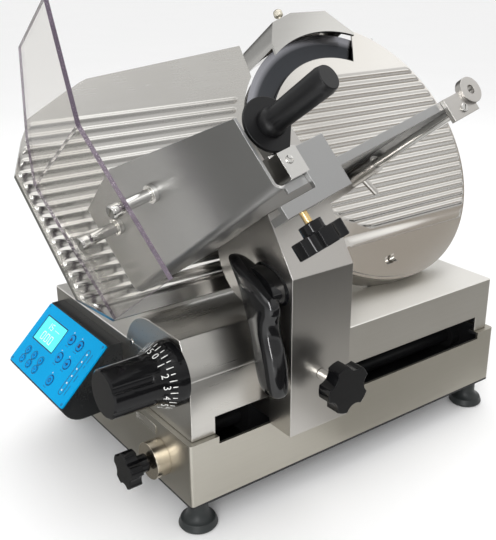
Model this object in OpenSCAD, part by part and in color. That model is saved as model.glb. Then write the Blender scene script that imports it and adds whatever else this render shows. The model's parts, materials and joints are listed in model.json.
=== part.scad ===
// Automatic gravity-feed food slicer with a 350 mm blade.
// Millimetres. Origin on the floor under the middle of the whole machine, +X along
// the carriage's travel, +Y to the back, +Z up.

/* [Base] */
// Length of the lower base, along the carriage's travel
base_l = 502; // [460:1:560]
// Depth of the lower base
base_d = 350; // [330:1:400]
// Height of the lower base, without its feet
base_h = 81; // [76:1:90]
// Height of the feet under the base
foot_h = 38; // [30:1:50]
// Diameter of a foot's spread sole
foot_d = 46; // [36:1:56]
// Distance of a foot's axis from the base's edges
foot_inset = 20; // [16:1:40]
// Wall thickness of the castings
wall = 4; // [3:0.5:5]
// Step from the lower base in to the upper body
body_inset = 6.5; // [4:0.5:10]
// Height of the deck over the underside of the base
deck_h = 154; // [150:1:165]
// Height of the hump over the deck
hump_h = 42.5; // [36:0.5:48]
// Length of the hump from the left end of the body
hump_l = 200; // [150:1:260]
// Depth of the flat top of the hump
hump_flat = 61; // [50:1:75]
// Rounding of the castings' upright corners
corner_r = 4; // [2:0.5:8]
// Thickness of the bottom plate
plate_t = 3; // [2:0.5:4]

/* [Blade] */
// Diameter of the blade
blade_d = 350; // [330:1:360]
// Lean of the blade's plane from upright
tilt = 35; // [30:1:40]
// Distance of the blade's centre from the right end of the base
blade_right = 114; // [104:1:130]
// Distance of the blade's centre from the front of the base
blade_y = 163; // [155:1:175]
// Height of the blade's centre over the underside of the base
blade_z = 323; // [315:1:335]
// Diameter of the blade's spindle
spindle_d = 20; // [16:1:24]
// Width of the ring guard around the blade
ring_w = 10; // [8:0.5:14]
// Width of the blade that shows beside the cover
blade_show = 38; // [30:1:44]
// Where the open side of the guard starts, in degrees round the spindle
open_from = 68; // [60:1:76]
// Where the open side of the guard ends
open_to = 232; // [228:1:238]
// Spacing of the ribs on the cover and the gauge plate
rib_pitch = 13.2; // [11:0.1:16]
// Radius of a rib
rib_r = 4; // [3:0.5:5]
// Diameter of the blade's pulley
pulley_d = 120; // [100:1:130]
// Diameter of the motor's pulley
motor_pulley_d = 40; // [34:1:50]
// Distance between the two pulleys
belt_span = 188; // [184:1:194]
// Diameter of the blade's motor
motor_d = 84; // [70:1:88]
// Length of the blade's motor
motor_l = 108; // [90:1:116]

/* [Gauge plate] */
// Thickness of the gauge plate under its ribs
gauge_t = 6; // [4:0.5:8]
// Distance of the gauge plate's left tip from the blade's centre
gauge_reach = 475; // [440:1:490]
// Height of the gauge plate over the blade's centre
gauge_up = 169; // [150:1:175]
// Depth of the gauge plate under the blade's centre
gauge_down = 137; // [120:1:140]
// Diameter of the gauge plate's slide rod
gauge_rod_d = 22; // [16:1:26]
// Greatest slice thickness
gauge_travel = 16; // [10:1:18]

/* [Carriage] */
// Distance of the arm from the left end of the base, at rest
arm_x = 105; // [98:1:112]
// Width of the arm
arm_w = 84; // [76:1:92]
// Distance of the arm's front from the front of the base
arm_out = 40; // [36:1:48]
// Height of the fold in the arm's front
arm_fold = 261; // [254:1:268]
// Thickness of the arm's walls
arm_t = 5; // [4:0.5:7]
// Underside of the arm's foot over the underside of the base
slot_z = 72; // [68:1:74]
// Height of the slot in the front
slot_h = 30; // [28:1:34]
// Distance of the slot from the left end of the base
slot_left = 38; // [34:1:44]
// Distance of the slot from the right end of the base
slot_right = 32; // [24:1:36]
// Diameter of the rod that carries the carriage
rod_d = 20; // [16:1:24]
// Distance of that rod from the front of the base
rod_y = 70; // [66:1:74]
// Height of that rod over the underside of the base
rod_z = 48; // [44:1:50]

/* [Tray] */
// Turn of the tray in the blade's plane
roll = 13; // [10:1:16]
// Distance of the tray's left wall from the left end of the base, at rest
tray_x = -1.5; // [-6:0.5:4]
// Distance of the tray's corner under the blade's centre
tray_down = 115; // [112:0.5:118]
// Width of the tray's floor
tray_w = 250; // [230:1:260]
// Front of the tray, from the blade's plane
tray_front = 297; // [280:1:305]
// Gap between the tray and the blade's cover
tray_gap = 3; // [2:0.5:4]
// Thickness of the tray's sheet
sheet = 3; // [2:0.5:4]
// Height of the tray's wall at its back
wall_back = 104; // [95:1:110]
// Height of the tray's wall at its rounded corner
wall_top = 116; // [110:1:122]
// Height of the tray's wall at its front
wall_front = 65; // [55:1:75]
// Thickness of the clear guard
guard_t = 5; // [3:0.5:6]
// Gap between the tray's wall and the clear guard
guard_gap = 37; // [30:1:42]
// Lean of the clear guard's upper part, back towards the blade
guard_bend = 18; // [10:1:25]

/* [Pusher] */
// Diameter of the rail that the pusher slides on
rail_d = 12; // [10:1:14]
// Diameter of the hand guard
hand_guard_d = 50; // [44:1:56]
// Diameter of the grip
grip_d = 24; // [20:1:28]
// Length of the grip
grip_l = 72; // [64:1:84]
// Lean of the grip to the right
grip_lean = 10; // [0:1:14]

/* [Controls] */
// Diameter of the thickness dial's scale
dial_d = 74; // [66:1:80]
// Diameter of the dial's grip
dial_grip_d = 56; // [48:1:60]
// Length of the dial
dial_l = 84; // [70:1:92]
// Diameter of the dial's shaft
dial_shaft_d = 12; // [10:1:14]
// Length of the control panel
panel_l = 161; // [150:1:170]
// Width of the control panel
panel_w = 92; // [86:1:96]
// Slope of the control panel
panel_slope = 44.6; // [40:0.1:48]
// Thickness of the keypad
pad_t = 2.5; // [2:0.1:3]
// Diameter of a large key
key_d = 12; // [10:0.5:13]
// Diameter of a small key
small_key_d = 8; // [7:0.5:9]
// Diameter of the lobed knobs
lobe_d = 43; // [38:1:48]
// Diameter of the front lobed knob
front_lobe_d = 56; // [48:1:60]

/* [Hidden] */
$fn = 64;
// Gap of a running fit, on the radius
run = 0.05;
// Gap of a piece that sits in a seat
seat = 0.1;
// Gap between pieces that pass each other
pass = 0.5;
eps = 0.01;
far = 900;

blade_r = blade_d / 2;
blade_x = base_l - blade_right;
ring_in = blade_r + 3;
ring_out = ring_in + ring_w;
cover_in = blade_r - blade_show;
edge_n = -6;
cover_n = edge_n + 1;
cover_t = 3;
dish_n = edge_n - 5;
blade_back = dish_n - 4;
flange_t = 6;
flange_n = blade_back - flange_t;
head_n = flange_n - 5;
head_t = 8;
head_back = head_n - head_t;
belt_w = 14;
pulley_n = head_back - 62;
bay_back = pulley_n - 4;
housing_t = 8;
bay_top_r = pulley_d / 2 + 14;
bay_low_r = motor_pulley_d / 2 + 28;
bearing_w = 12;
bearing_r = spindle_d / 2 + 11;
boss_l = 40;

gauge_front = cover_n - rib_r + 2;
gauge_back = gauge_front - gauge_t;
gauge_rod_x = -280;
gauge_rod_t = -40;
gauge_rod_l = 168;
bracket_t = 8;

lower_in = wall + 12;
slot_l = base_l - slot_left - slot_right;
foot_w = arm_w - 10;
foot_x = arm_x + 5;
tongue_z = slot_z + 4;
tongue_h = slot_h - 8;
arm_n = arm_front_n(-arm_out, arm_fold);

dial_y = 39;
dial_z = deck_h + 0.5;
lock_y = 62;
lock_z = 38;

panel_top_x = -10;
panel_top_z = 142;
panel_y0 = 157;
panel_cx = panel_top_x - panel_w / 2 * cos(panel_slope);
panel_cz = panel_top_z - panel_w / 2 * sin(panel_slope);
panel_cy = panel_y0 + panel_l / 2;

tray_left = blade_x - tray_x;
tray_lip = 8;
rail_u = 31;
rail_v = 15;
push_n = tray_front - 8;
push_block = [28, 25, 24];
rail_block = 21;
brace_u = tray_w - 14;
brace_v = -15;
brace_d = 10;
bracket_lug_d = 27;

// Seats of the rods, and the carriage's drive
rod_boss = 16;
lock_stud_d = 10;
block_y = 26;
drive_r = 16;
drive_y = rod_y + block_y + 3;
drive_z = 40;
drive_w = 10;
drive_x0 = 60;
drive_x1 = base_l - 52;
shaft_d = 8;

// Side view of the arm, knob and handle on it
tail_r = 58;
arm_under = deck_h + hump_h + 9.5;
tail_y = side(-tray_down, tray_gap + 5)[0] + 6;
arm_top = side(-tray_down + 70, arm_n);
tail_top = side(-tray_down + 70, tray_gap + 5);
front_knob_z = 141;
knob_stem_d = 12;
wing_d = 48;
wing_u = 18;
wing_v = -19;
wing_l = 41;
handle_x = arm_x - 17.5;
// Sections of the handle: centre (y, z), half depth, half width
grip_path = [
    [29, 270, 12, 9], [15, 261, 29, 12], [-2, 244, 35, 13], [-9, 230, 30, 13.5], [-8, 218, 20, 14],
    [-14, 205, 19, 14], [-22, 186, 21.5, 14.5], [-27, 165, 21.5, 14.5], [-31, 143, 19, 13], [-33, 130, 12, 9]
];

// Clear guard and its two fixings
guard_fix_v = 67;
guard_fix_n = [48, 137];
guard_n0 = tray_gap + 2;
guard_n1 = tray_gap + 146;
guard_crease = 150;
guard_low = -14;
guard_rise = 132;

// Pusher's grip, and the gauge's guide
grip_v = 50;
grip_u = rail_u + 3;
guide_n0 = -168;
guide_n1 = -108;

// Middle of the machine's outline, from the base's front left corner
grip_end_t = -tray_down + (grip_u + grip_l * sin(grip_lean)) * sin(roll) + grip_v * cos(roll);
grip_end_n = push_n + 4 + grip_l * cos(grip_lean);
grip_end_y = side(grip_end_t, grip_end_n)[0] - grip_d / 2 * sin(tilt);
origin_x = blade_x + (ring_out - gauge_reach) / 2;
wing_end_t = -tray_down + wing_u * sin(roll) + (wing_v - wing_l) * cos(roll);
wing_end_y = side(wing_end_t, push_n + wing_d / 2)[0];
origin_y = (base_d + foot_d / 2 - foot_inset + min(grip_end_y, wing_end_y)) / 2;

// Places on the control panel: up its slope, and to the back
big_keys = [[24.4, -13.3], [24.4, -35], [-1.8, -13.3], [-1.8, -35], [-29.4, -25.6]];
small_keys = [54.4, 35, 15.6];
small_rows = [-20, -32.5];
lcd_size = [34, 57];
lcd_at = [-4, 7];
key_gap = 0.8;

// Blade's motor, and the sharpener
motor_shaft_d = 12;
motor_n = bay_back - 8;
post_x = -18;
post_n = head_back - 20;
post_d = 12;
post_top = blade_r + 12;
hood_back = post_n - 14;
hood_front = 14;
stone_x = [-34, 8];
stone_t = blade_r + 6;
stone_pin_d = 6;
knob_pin_d = 6;
stone_n = -22;
stone_r = 16;
knob_x = -53;
knob_n = 2;

// Distance of a point of the base's side view from the blade's plane
function arm_front_n(y, z) = -(y - blade_y) * cos(tilt) + (z - blade_z) * sin(tilt);
// The same point's height in the blade's plane
function arm_front_t(y, z) = (y - blade_y) * sin(tilt) + (z - blade_z) * cos(tilt);
// Side view (y, z) of a point that lies t up the blade's plane and n in front of it
function side(t, n) = [blade_y + t * sin(tilt) - n * cos(tilt), blade_z + t * cos(tilt) + n * sin(tilt)];
// Points of an arc in a plane
function arc(c, r, a0, a1, steps) = [for (i = [0:steps]) c + r * [cos(a0 + (a1 - a0) * i / steps),
    sin(a0 + (a1 - a0) * i / steps)]];

// Frame of the base: its front left bottom corner
module in_base() {
    translate([-origin_x, -origin_y, foot_h]) children();
}

// Frame of the blade: x along the travel, y up the leaning plane, z out of it
module in_blade() {
    in_base() translate([blade_x, blade_y, blade_z]) rotate([90 - tilt, 0, 0]) children();
}

// Frame of the tray: x square to its wall, y square to its floor, z along its slope
module in_tray() {
    in_blade() translate([-tray_left, -tray_down, 0]) rotate([0, 0, roll]) children();
}

// Frame of the control panel: x up its slope, y to the back, z out of it
module in_panel() {
    in_base() translate([panel_cx, panel_cy, panel_cz]) rotate([0, -panel_slope, 0]) children();
}

// Rod of a given diameter along X
module x_rod(d, l) {
    rotate([0, 90, 0]) cylinder(d = d, h = l);
}

// Rod of a given diameter along Y
module y_rod(d, l) {
    rotate([-90, 0, 0]) cylinder(d = d, h = l);
}

// Rectangle with round corners
module round_rect(l, w, r) {
    translate([r, 0]) square([l - 2 * r, w]);
    translate([0, r]) square([l, w - 2 * r]);
    for (x = [r, l - r], y = [r, w - r]) translate([x, y]) circle(r);
}

// Everything under a level of the base, for cutting
module below(z) {
    in_base() translate([-far, -far, z - far]) cube([2 * far, 2 * far, far]);
}

// Two circles and their common tangents
module pear(r1, r2, span) {
    a = asin((r1 - r2) / span);
    circle(r1);
    translate([0, -span]) circle(r2);
    polygon([
        [r1 * cos(a), -r1 * sin(a)], [-r1 * cos(a), -r1 * sin(a)],
        [-r2 * cos(a), -span - r2 * sin(a)], [r2 * cos(a), -span - r2 * sin(a)]
    ]);
}

// Sector of the plane between two angles, no wider than half a turn each side of its middle
module sector(from, to, r) {
    steps = 8;
    polygon(concat([[0, 0]], [for (i = [0:steps]) r * [cos(from + (to - from) * i / steps),
        sin(from + (to - from) * i / steps)]]));
}

// Base

module lower_base() {
    color("lightgray") in_base() difference() {
        translate([0, 0, plate_t]) linear_extrude(base_h - plate_t) round_rect(base_l, base_d, corner_r);
        translate([wall, wall, plate_t - eps])
            cube([base_l - 2 * wall, base_d - 2 * wall, base_h - plate_t - wall]);
        translate([lower_in, lower_in, 0]) cube([base_l - 2 * lower_in, base_d - 2 * lower_in, base_h + 1]);
        translate([slot_left, -1, slot_z]) cube([slot_l, lower_in + 2, base_h]);
        translate([-1, lock_y, lock_z]) x_rod(lock_stud_d + 2 * run, wall + 2);
    }
    color("lightgray") in_base() for (x = [wall, base_l - wall - rod_boss]) difference() {
        translate([x, rod_y, rod_z]) x_rod(rod_d + 16, rod_boss);
        translate([x - 1, rod_y, rod_z]) x_rod(rod_d + 2 * seat, rod_boss + 2);
    }
}

module bottom_plate() {
    color("silver") in_base() {
        linear_extrude(plate_t) round_rect(base_l, base_d, corner_r);
        translate([drive_x1 - 12, drive_y + drive_w + 3, plate_t - eps])
            cube([24, 12, drive_z - plate_t + 12]);
        translate([drive_x1, drive_y - 2, drive_z]) y_rod(shaft_d, drive_w + 6);
    }
}

module feet() {
    color("dimgray") in_base()
        for (x = [foot_inset, base_l - foot_inset], y = [foot_inset, base_d - foot_inset])
            translate([x, y, -foot_h]) rotate_extrude() polygon(concat(
                [[0, 0], [foot_d / 2 - 2, 0], [foot_d / 2, 3]],
                arc([foot_d / 2, foot_h * 0.55], foot_d / 2 - 12, 255, 180, 6),
                [[12, foot_h], [0, foot_h]]));
}

// Side view of the hump, grown or shrunk by d
module hump_side(d) {
    top = deck_h + hump_h + d;
    drop = hump_h + 18;
    translate([0, base_h]) intersection() {
        square([base_d / 2, far]);
        translate([0, -base_h]) union() {
            polygon([
                [body_inset - d, base_h - 1], [body_inset - d, deck_h + 4 + d / 2],
                [body_inset + 19 - d / 2, top], [body_inset + 19 + hump_flat, top],
                [body_inset + 19 + hump_flat, base_h - 1]
            ]);
            translate([body_inset + 19 + hump_flat, top - drop - d]) circle(drop + d);
        }
    }
}

module upper_body() {
    color("gainsboro") in_base() difference() {
        union() {
            translate([body_inset, body_inset, base_h]) linear_extrude(deck_h - base_h)
                round_rect(base_l - 2 * body_inset, base_d - 2 * body_inset, corner_r);
            translate([body_inset, 0, 0]) rotate([90, 0, 90]) linear_extrude(hump_l) hump_side(0);
        }
        translate([body_inset + wall, body_inset + wall, base_h - 1])
            cube([base_l - 2 * body_inset - 2 * wall, base_d - 2 * body_inset - 2 * wall,
                deck_h - base_h - wall + 1]);
        translate([body_inset + wall, 0, 0]) rotate([90, 0, 90])
            linear_extrude(hump_l - 2 * wall) hump_side(-wall);
        translate([slot_left, -1, base_h - 1])
            cube([slot_l, 3 * wall + body_inset, slot_z + slot_h - base_h + 1]);
        translate([body_inset - 1, dial_y, dial_z]) x_rod(dial_shaft_d + 2 * run, wall + 2);
        translate([origin_x, origin_y, -foot_h]) intersection() {
            in_blade() translate([0, 0, bay_back]) linear_extrude(head_back - bay_back)
                pear(bay_top_r, bay_low_r, belt_span);
            in_base() translate([0, 0, deck_h - 2 * wall]) cube([base_l, base_d, 3 * wall]);
        }
    }
}

// Carriage drive

module carriage_rod() {
    color("silver") in_base() translate([wall, rod_y, rod_z]) x_rod(rod_d, base_l - 2 * wall);
}

module carriage_block() {
    color("gray") in_base() difference() {
        union() {
            translate([foot_x, rod_y - block_y, rod_z - 18])
                cube([foot_w, 2 * block_y, tongue_z - rod_z + 18]);
            translate([foot_x + foot_w / 2 - 10, rod_y + block_y - eps, drive_z + drive_r + 3])
                cube([20, 14, tongue_z - drive_z - drive_r - 3]);
        }
        translate([foot_x - 1, rod_y, rod_z]) x_rod(rod_d + 2 * run, foot_w + 2);
    }
}

module drive_wheel(x) {
    color("dimgray") in_base() translate([x, drive_y, drive_z]) difference() {
        union() {
            y_rod(2 * drive_r, drive_w);
            translate([0, drive_w, 0]) y_rod(2 * drive_r + 6, 2);
        }
        translate([0, -1, 0]) y_rod(shaft_d + 2 * run, drive_w + 4);
    }
}

module drive_pulley() {
    drive_wheel(drive_x0);
}

module idler_pulley() {
    drive_wheel(drive_x1);
}

module drive_belt() {
    span = drive_x1 - drive_x0;
    inner = drive_r + 0.3;
    outer = inner + 2;
    color("black") in_base() translate([drive_x0, drive_y + drive_w - 0.5, drive_z]) rotate([90, 0, 0])
        linear_extrude(drive_w - 1) difference() {
            union() {
                circle(outer);
                translate([span, 0]) circle(outer);
                translate([0, -outer]) square([span, 2 * outer]);
            }
            circle(inner);
            translate([span, 0]) circle(inner);
            translate([0, -inner]) square([span, 2 * inner]);
        }
}

module drive_motor() {
    color("dimgray") in_base() translate([drive_x0, drive_y, drive_z]) {
        translate([0, drive_w + 3, 0]) y_rod(54, 90);
        translate([-30, drive_w + 9, plate_t - drive_z]) cube([60, 70, drive_z - plate_t]);
        translate([0, -2, 0]) y_rod(shaft_d, drive_w + 6);
    }
}

// Carriage

// Outer side view of the arm, as points (y, z)
module arm_side(d) {
    polygon(concat(
        [
            [-arm_out + d, tongue_z - 2 - eps], [-arm_out + d, arm_fold - d / 3], arm_top + [d, -d],
            tail_top + [-d, -d]
        ],
        arc([tail_y - tail_r, arm_under + tail_r], tail_r - d, 0, -90, 8),
        [
            [14, arm_under + d], [-2 - d, arm_under - 16], [-2 - d, tongue_z - 2 - eps]
        ]));
}

module carriage_arm() {
    color("gainsboro") difference() {
        in_base() difference() {
            union() {
                translate([arm_x, 0, 0]) rotate([90, 0, 90]) linear_extrude(arm_w) arm_side(0);
                translate([foot_x, -arm_t - 2, tongue_z])
                    cube([foot_w, rod_y + block_y + arm_t + 2, tongue_h]);
            }
            difference() {
                translate([arm_x + arm_t, 0, 0]) rotate([90, 0, 90])
                    linear_extrude(arm_w - 2 * arm_t) arm_side(arm_t);
                translate([0, -far, 0]) cube([base_l, 2 * far, tongue_z + tongue_h + eps]);
            }
            translate([arm_x + arm_t, 20, arm_under - 1]) cube([arm_w - 2 * arm_t, 200, 200]);
            translate([arm_x + arm_w / 2, -arm_out - 1, front_knob_z])
                y_rod(knob_stem_d + 2 * run, arm_t + 2);
        }
        in_tray() translate([-far, -sheet, -far]) cube(2 * far);
        intersection() {
            in_blade() translate([-far, -far, tray_gap + 5 - 2 * far]) cube(2 * far);
            in_base() translate([0, -far, deck_h]) cube(2 * far);
        }
    }
}

module handle_slice(p) {
    translate([handle_x, p[0], p[1]]) rotate([12, 0, 0]) scale([p[3], p[2], 1])
        cylinder(r = 1, h = 2, $fn = 24);
}

module carriage_handle() {
    color("black") in_base() {
        for (i = [0:len(grip_path) - 2]) hull() {
            handle_slice(grip_path[i]);
            handle_slice(grip_path[i + 1]);
        }
        translate([handle_x, -30, 236]) cube([arm_x - handle_x, 52, 30]);
    }
}

// Knob with five lobes, its face towards -z and its stem towards +z
module lobed_knob(d, h, neck_d, neck_l) {
    difference() {
        cylinder(d = d, h = h);
        for (a = [0:72:288]) rotate(a) translate([d * 0.62, 0, -1]) cylinder(d = d * 0.46, h = h + 2);
    }
    cylinder(d = neck_d, h = h + neck_l);
}

module front_knob() {
    color("black") in_base() translate([arm_x + arm_w / 2, -arm_out - 46, front_knob_z]) rotate([-90, 0, 0]) {
        lobed_knob(front_lobe_d, 18, 24, 6);
        cylinder(d = knob_stem_d, h = 46 + arm_t);
    }
}

// Tray

// Side view of the tray's wall, as (n, v)
module wall_side() {
    corner = 14;
    difference() {
        polygon(concat(
            [[tray_gap, 0], [tray_gap, wall_back]],
            arc([100 - corner, wall_top - corner], corner, 95, 60, 4),
            [[tray_front, wall_front], [tray_front, 0]]));
    }
}

module tray() {
    bend = 9;
    color("lightslategray") in_tray() {
        difference() {
            union() {
                intersection() {
                    translate([sheet, 0, 0]) rotate([0, -90, 0]) linear_extrude(sheet) wall_side();
                    translate([-far, bend, -far]) cube(2 * far);
                }
                translate([bend, -sheet, tray_gap]) cube([tray_w - bend, sheet, tray_front - tray_gap]);
                translate([bend, bend - sheet, tray_gap]) linear_extrude(tray_front - tray_gap) difference() {
                    circle(bend);
                    circle(bend - sheet);
                    translate([0, -far]) square(2 * far);
                    translate([-far, 0]) square(2 * far);
                }
                translate([0, bend - sheet, tray_gap]) cube([sheet, sheet, tray_front - tray_gap]);
                translate([bend, -tray_lip, tray_front - sheet]) cube([tray_w - bend, tray_lip, sheet]);
                translate([tray_w - sheet, -10, tray_gap + 12]) cube([sheet, 10, tray_front - tray_gap - 12]);
            }
            for (n = guard_fix_n) translate([-1, guard_fix_v, n]) x_rod(6 + 2 * seat, sheet + 2);
        }
    }
}

module brace_rod() {
    color("silver") in_tray() translate([brace_u, brace_v, arm_n - 2])
        cylinder(d = brace_d, h = tray_front - sheet - arm_n + 2);
}

module brace_socket() {
    color("lightgray") difference() {
        union() {
            in_tray() {
                translate([brace_u, brace_v, arm_n - 2]) cylinder(d = brace_d + 8, h = 46);
                translate([brace_u, brace_v - 4, arm_n + 14]) rotate([90, 0, 17]) cylinder(d = 7, h = 24);
            }
            intersection() {
                in_tray() translate([0, brace_v - 10, arm_n - 32]) cube([brace_u, 14, 30]);
                in_base() translate([arm_x + arm_w, -far, 0]) cube(2 * far);
            }
            in_tray() translate([brace_u, brace_v, arm_n - 32]) cylinder(d = brace_d + 8, h = 31);
        }
        in_tray() translate([brace_u, brace_v, arm_n - 2 - seat]) cylinder(d = brace_d + 2 * seat, h = 60);
    }
}

module brace_bracket() {
    color("silver") in_tray() difference() {
        union() {
            translate([tray_w - 26, -24, tray_front]) cube([40, 24, 5]);
            translate([tray_w + 14, -4, tray_front]) cylinder(d = bracket_lug_d, h = 8);
        }
        translate([tray_w + 14, -4, tray_front - 1]) cylinder(d = bracket_lug_d / 3, h = 10);
    }
}

// Section of the clear guard, as (u, v): one sheet, bent once
module guard_section() {
    rise = guard_rise * [sin(guard_bend), cos(guard_bend)];
    across = guard_t * [-cos(guard_bend), sin(guard_bend)];
    polygon([
        [0, guard_low], [0, guard_crease], [0, guard_crease] + rise, [0, guard_crease] + rise + across,
        [-guard_t, guard_crease + guard_t * tan(guard_bend / 2)], [-guard_t, guard_low]
    ]);
}

module clear_guard() {
    top = guard_crease + guard_rise;
    color("thistle", 0.5) in_tray() translate([-guard_gap, 0, 0]) difference() {
        translate([0, 0, guard_n0]) linear_extrude(guard_n1 - guard_n0) guard_section();
        translate([far / 2, 0, 0]) rotate([0, -90, 0]) linear_extrude(far) polygon([
            [guard_n0 - 1, guard_crease], [guard_n0, guard_crease], [guard_n0 + 10, guard_crease + 48],
            [guard_n0 + 58, top + 5], [guard_n0 - 1, top + 5]
        ]);
        for (n = guard_fix_n) translate([-guard_t - 1, guard_fix_v, n]) x_rod(6 + 2 * seat, guard_t + 2);
    }
}

module guard_fixings() {
    color("silver") in_tray() for (n = guard_fix_n) translate([0, guard_fix_v, n]) {
        difference() {
            union() {
                translate([-guard_gap, 0, 0]) x_rod(12, guard_gap);
                translate([-6, 0, 0]) x_rod(19, 6);
            }
            translate([-guard_gap - 1, 0, 0]) x_rod(6 + 2 * seat, guard_gap + 2);
        }
        translate([-guard_gap - guard_t, 0, 0]) x_rod(6, guard_gap + guard_t + sheet + 4);
        translate([-guard_gap - guard_t - 7, 0, 0]) x_rod(14, 7);
    }
}

// Pusher

module pusher_rail() {
    color("silver") in_tray() {
        difference() {
            translate([rail_u, rail_v, tray_gap + 6]) cylinder(d = rail_d, h = tray_front - tray_gap - 6);
        }
        translate([rail_u - 10, 0, tray_gap + 6]) cube([20, rail_v + 2, 8]);
        translate([rail_u + 2 - rail_block, 0, push_n + 1]) cube([rail_block, rail_v + 9, rail_block - 5]);
    }
}

module pusher_block() {
    color("gainsboro") in_tray() translate([rail_u, rail_v, push_n - push_block[2]]) difference() {
        union() {
            translate([-push_block[0] / 2, -push_block[1] / 2, 0]) cube(push_block);
            translate([-8, 0, push_block[2] - 14]) cube([16, grip_v - rail_v + 8, 14]);
        }
        translate([0, 0, -1]) cylinder(d = rail_d + 2 * run, h = push_block[2] + 2);
    }
}

module pusher_plate() {
    teeth = 5;
    color("silver") in_tray() translate([rail_u, 0, push_n - push_block[2] - 4]) difference() {
        union() {
            translate([-14, 3, 0]) cube([60, 50, 4]);
            for (i = [0:teeth - 1], j = [0:teeth - 2])
                translate([-10 + i * 12, 10 + j * 12, 0]) rotate([180, 0, 0])
                    cylinder(d1 = 7, d2 = 1, h = 5, $fn = 4);
        }
        translate([0, rail_v, -8]) cylinder(d = rail_d + 4, h = 20);
    }
}

module hand_guard() {
    color("black") in_tray() translate([grip_u, grip_v, push_n]) difference() {
        cylinder(d = hand_guard_d, h = 4);
        rotate(-40) translate([hand_guard_d * 0.4, -far, -1]) cube(2 * far);
    }
}

module pusher_grip() {
    color("black") in_tray() translate([grip_u, grip_v, push_n + 4]) intersection() {
        rotate([0, grip_lean, 0]) translate([0, 0, -10]) rotate_extrude() polygon([
            [0, 0], [grip_d / 2 + 1, 0], [grip_d / 2 + 1, 14], [grip_d / 2 - 1, 18], [grip_d / 2 - 0.5, 40],
            [grip_d / 2, grip_l + 4], [grip_d / 2 - 1.5, grip_l + 10], [0, grip_l + 10]
        ]);
        translate([-far, -far, 0]) cube(2 * far);
    }
}

module rail_clamp() {
    color("lightgray") in_tray() difference() {
        union() {
            translate([-9, -26, tray_front]) cube([78, 12, 5]);
            translate([33, -26, tray_front]) cube([36, 49, 5]);
            translate([-9, -26, tray_front - 16]) cube([50, 7, 16 + 5]);
        }
        translate([wing_u, -27, push_n]) rotate([-90, 0, 0]) cylinder(d = 7 + 2 * run, h = 10);
    }
}

module wing_knob() {
    color("black") in_tray() translate([wing_u, wing_v, push_n]) rotate([90, 0, 0]) {
        cylinder(d = 7, h = 20);
        translate([0, 0, wing_l]) rotate([180, 0, 0]) lobed_knob(wing_d, 15, 21, 9);
    }
}

// Gauge plate

// Outline of the gauge plate in the blade's plane
module gauge_outline(d) {
    difference() {
        polygon([
            [-gauge_reach + 54 + d, -gauge_down + d], [-gauge_reach + 22 + d, -gauge_down + 32 + d],
            [-gauge_reach + d, 42], [-gauge_reach + 20 + d, 81 - d], [-gauge_reach + 35 + d, 103 - d],
            [-gauge_reach + 107 + d, gauge_up - 29 - d], [-gauge_reach + 118, gauge_up - 25 - d],
            [-128 - d, gauge_up - d], [-128 - d, 100], [-60, 100], [-60, -gauge_down + d]
        ]);
        circle(ring_in + d);
    }
}

module ribs(x0, x1, t0, t1, n) {
    count = floor((t0 - t1) / rib_pitch);
    for (i = [0:count]) translate([x0, t0 - i * rib_pitch, n]) x_rod(2 * rib_r, x1 - x0);
}

module gauge_plate() {
    rib_top = 94;
    color("gainsboro") in_blade() {
        translate([0, 0, gauge_back]) linear_extrude(gauge_t) gauge_outline(0);
        intersection() {
            ribs(-gauge_reach, -100, rib_top, -gauge_down + 18, gauge_front - rib_r + 2.2);
            translate([0, 0, gauge_back + 1]) linear_extrude(gauge_t + rib_r) difference() {
                gauge_outline(4);
                circle(ring_in + 14);
            }
        }
    }
}

module gauge_slide() {
    color("gray") in_blade() {
        translate([gauge_rod_x - 60, gauge_rod_t - 50, gauge_back - bracket_t]) cube([120, 100, bracket_t]);
        translate([gauge_rod_x, gauge_rod_t, gauge_back - gauge_rod_l])
            cylinder(d = gauge_rod_d, h = gauge_rod_l);
    }
}

module gauge_guide() {
    mid = side(gauge_rod_t, (guide_n0 + guide_n1) / 2);
    color("gray") difference() {
        union() {
            in_blade() translate([gauge_rod_x - 26, gauge_rod_t - 22, guide_n0])
                cube([52, 44, guide_n1 - guide_n0]);
            in_base() translate([blade_x + gauge_rod_x - 26, mid[0] - 30, deck_h])
                cube([52, 60, mid[1] - deck_h]);
        }
        in_blade() translate([gauge_rod_x, gauge_rod_t, guide_n0 - 60])
            cylinder(d = gauge_rod_d + 2 * run, h = guide_n1 - guide_n0 + 120);
    }
}

// Controls

module dial_knob() {
    r = dial_grip_d / 2;
    color("black") in_base() translate([body_inset, dial_y, dial_z]) rotate([0, -90, 0]) {
        difference() {
            rotate_extrude() polygon([
                [0, 1], [dial_d / 2, 1], [dial_d / 2, 9], [r + 1, 26], [r, 34], [r - 1, dial_l - 2],
                [r - 3, dial_l], [0, dial_l]
            ]);
            for (a = [0:60:300]) rotate(a) translate([r + 3, 0, 0]) {
                translate([0, 0, 40]) cylinder(d = 12, h = dial_l);
                translate([0, 0, 40]) sphere(d = 12);
            }
        }
        translate([0, 0, -wall - 26]) cylinder(d = dial_shaft_d, h = wall + 30);
        translate([0, 0, -wall - 26]) cylinder(d = dial_shaft_d + 24, h = 10);
    }
}

module lock_collar() {
    color("tan") in_base() difference() {
        translate([-18, lock_y, lock_z]) x_rod(44, 18);
        translate([-19, lock_y, lock_z]) x_rod(lock_stud_d + 2 * run, 20);
    }
}

module lock_knob() {
    color("black") in_base() translate([-50, lock_y, lock_z]) rotate([0, 90, 0]) {
        lobed_knob(lobe_d, 15, 21, 14);
        cylinder(d = lock_stud_d, h = 50 + wall - 0.5);
    }
}

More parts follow.
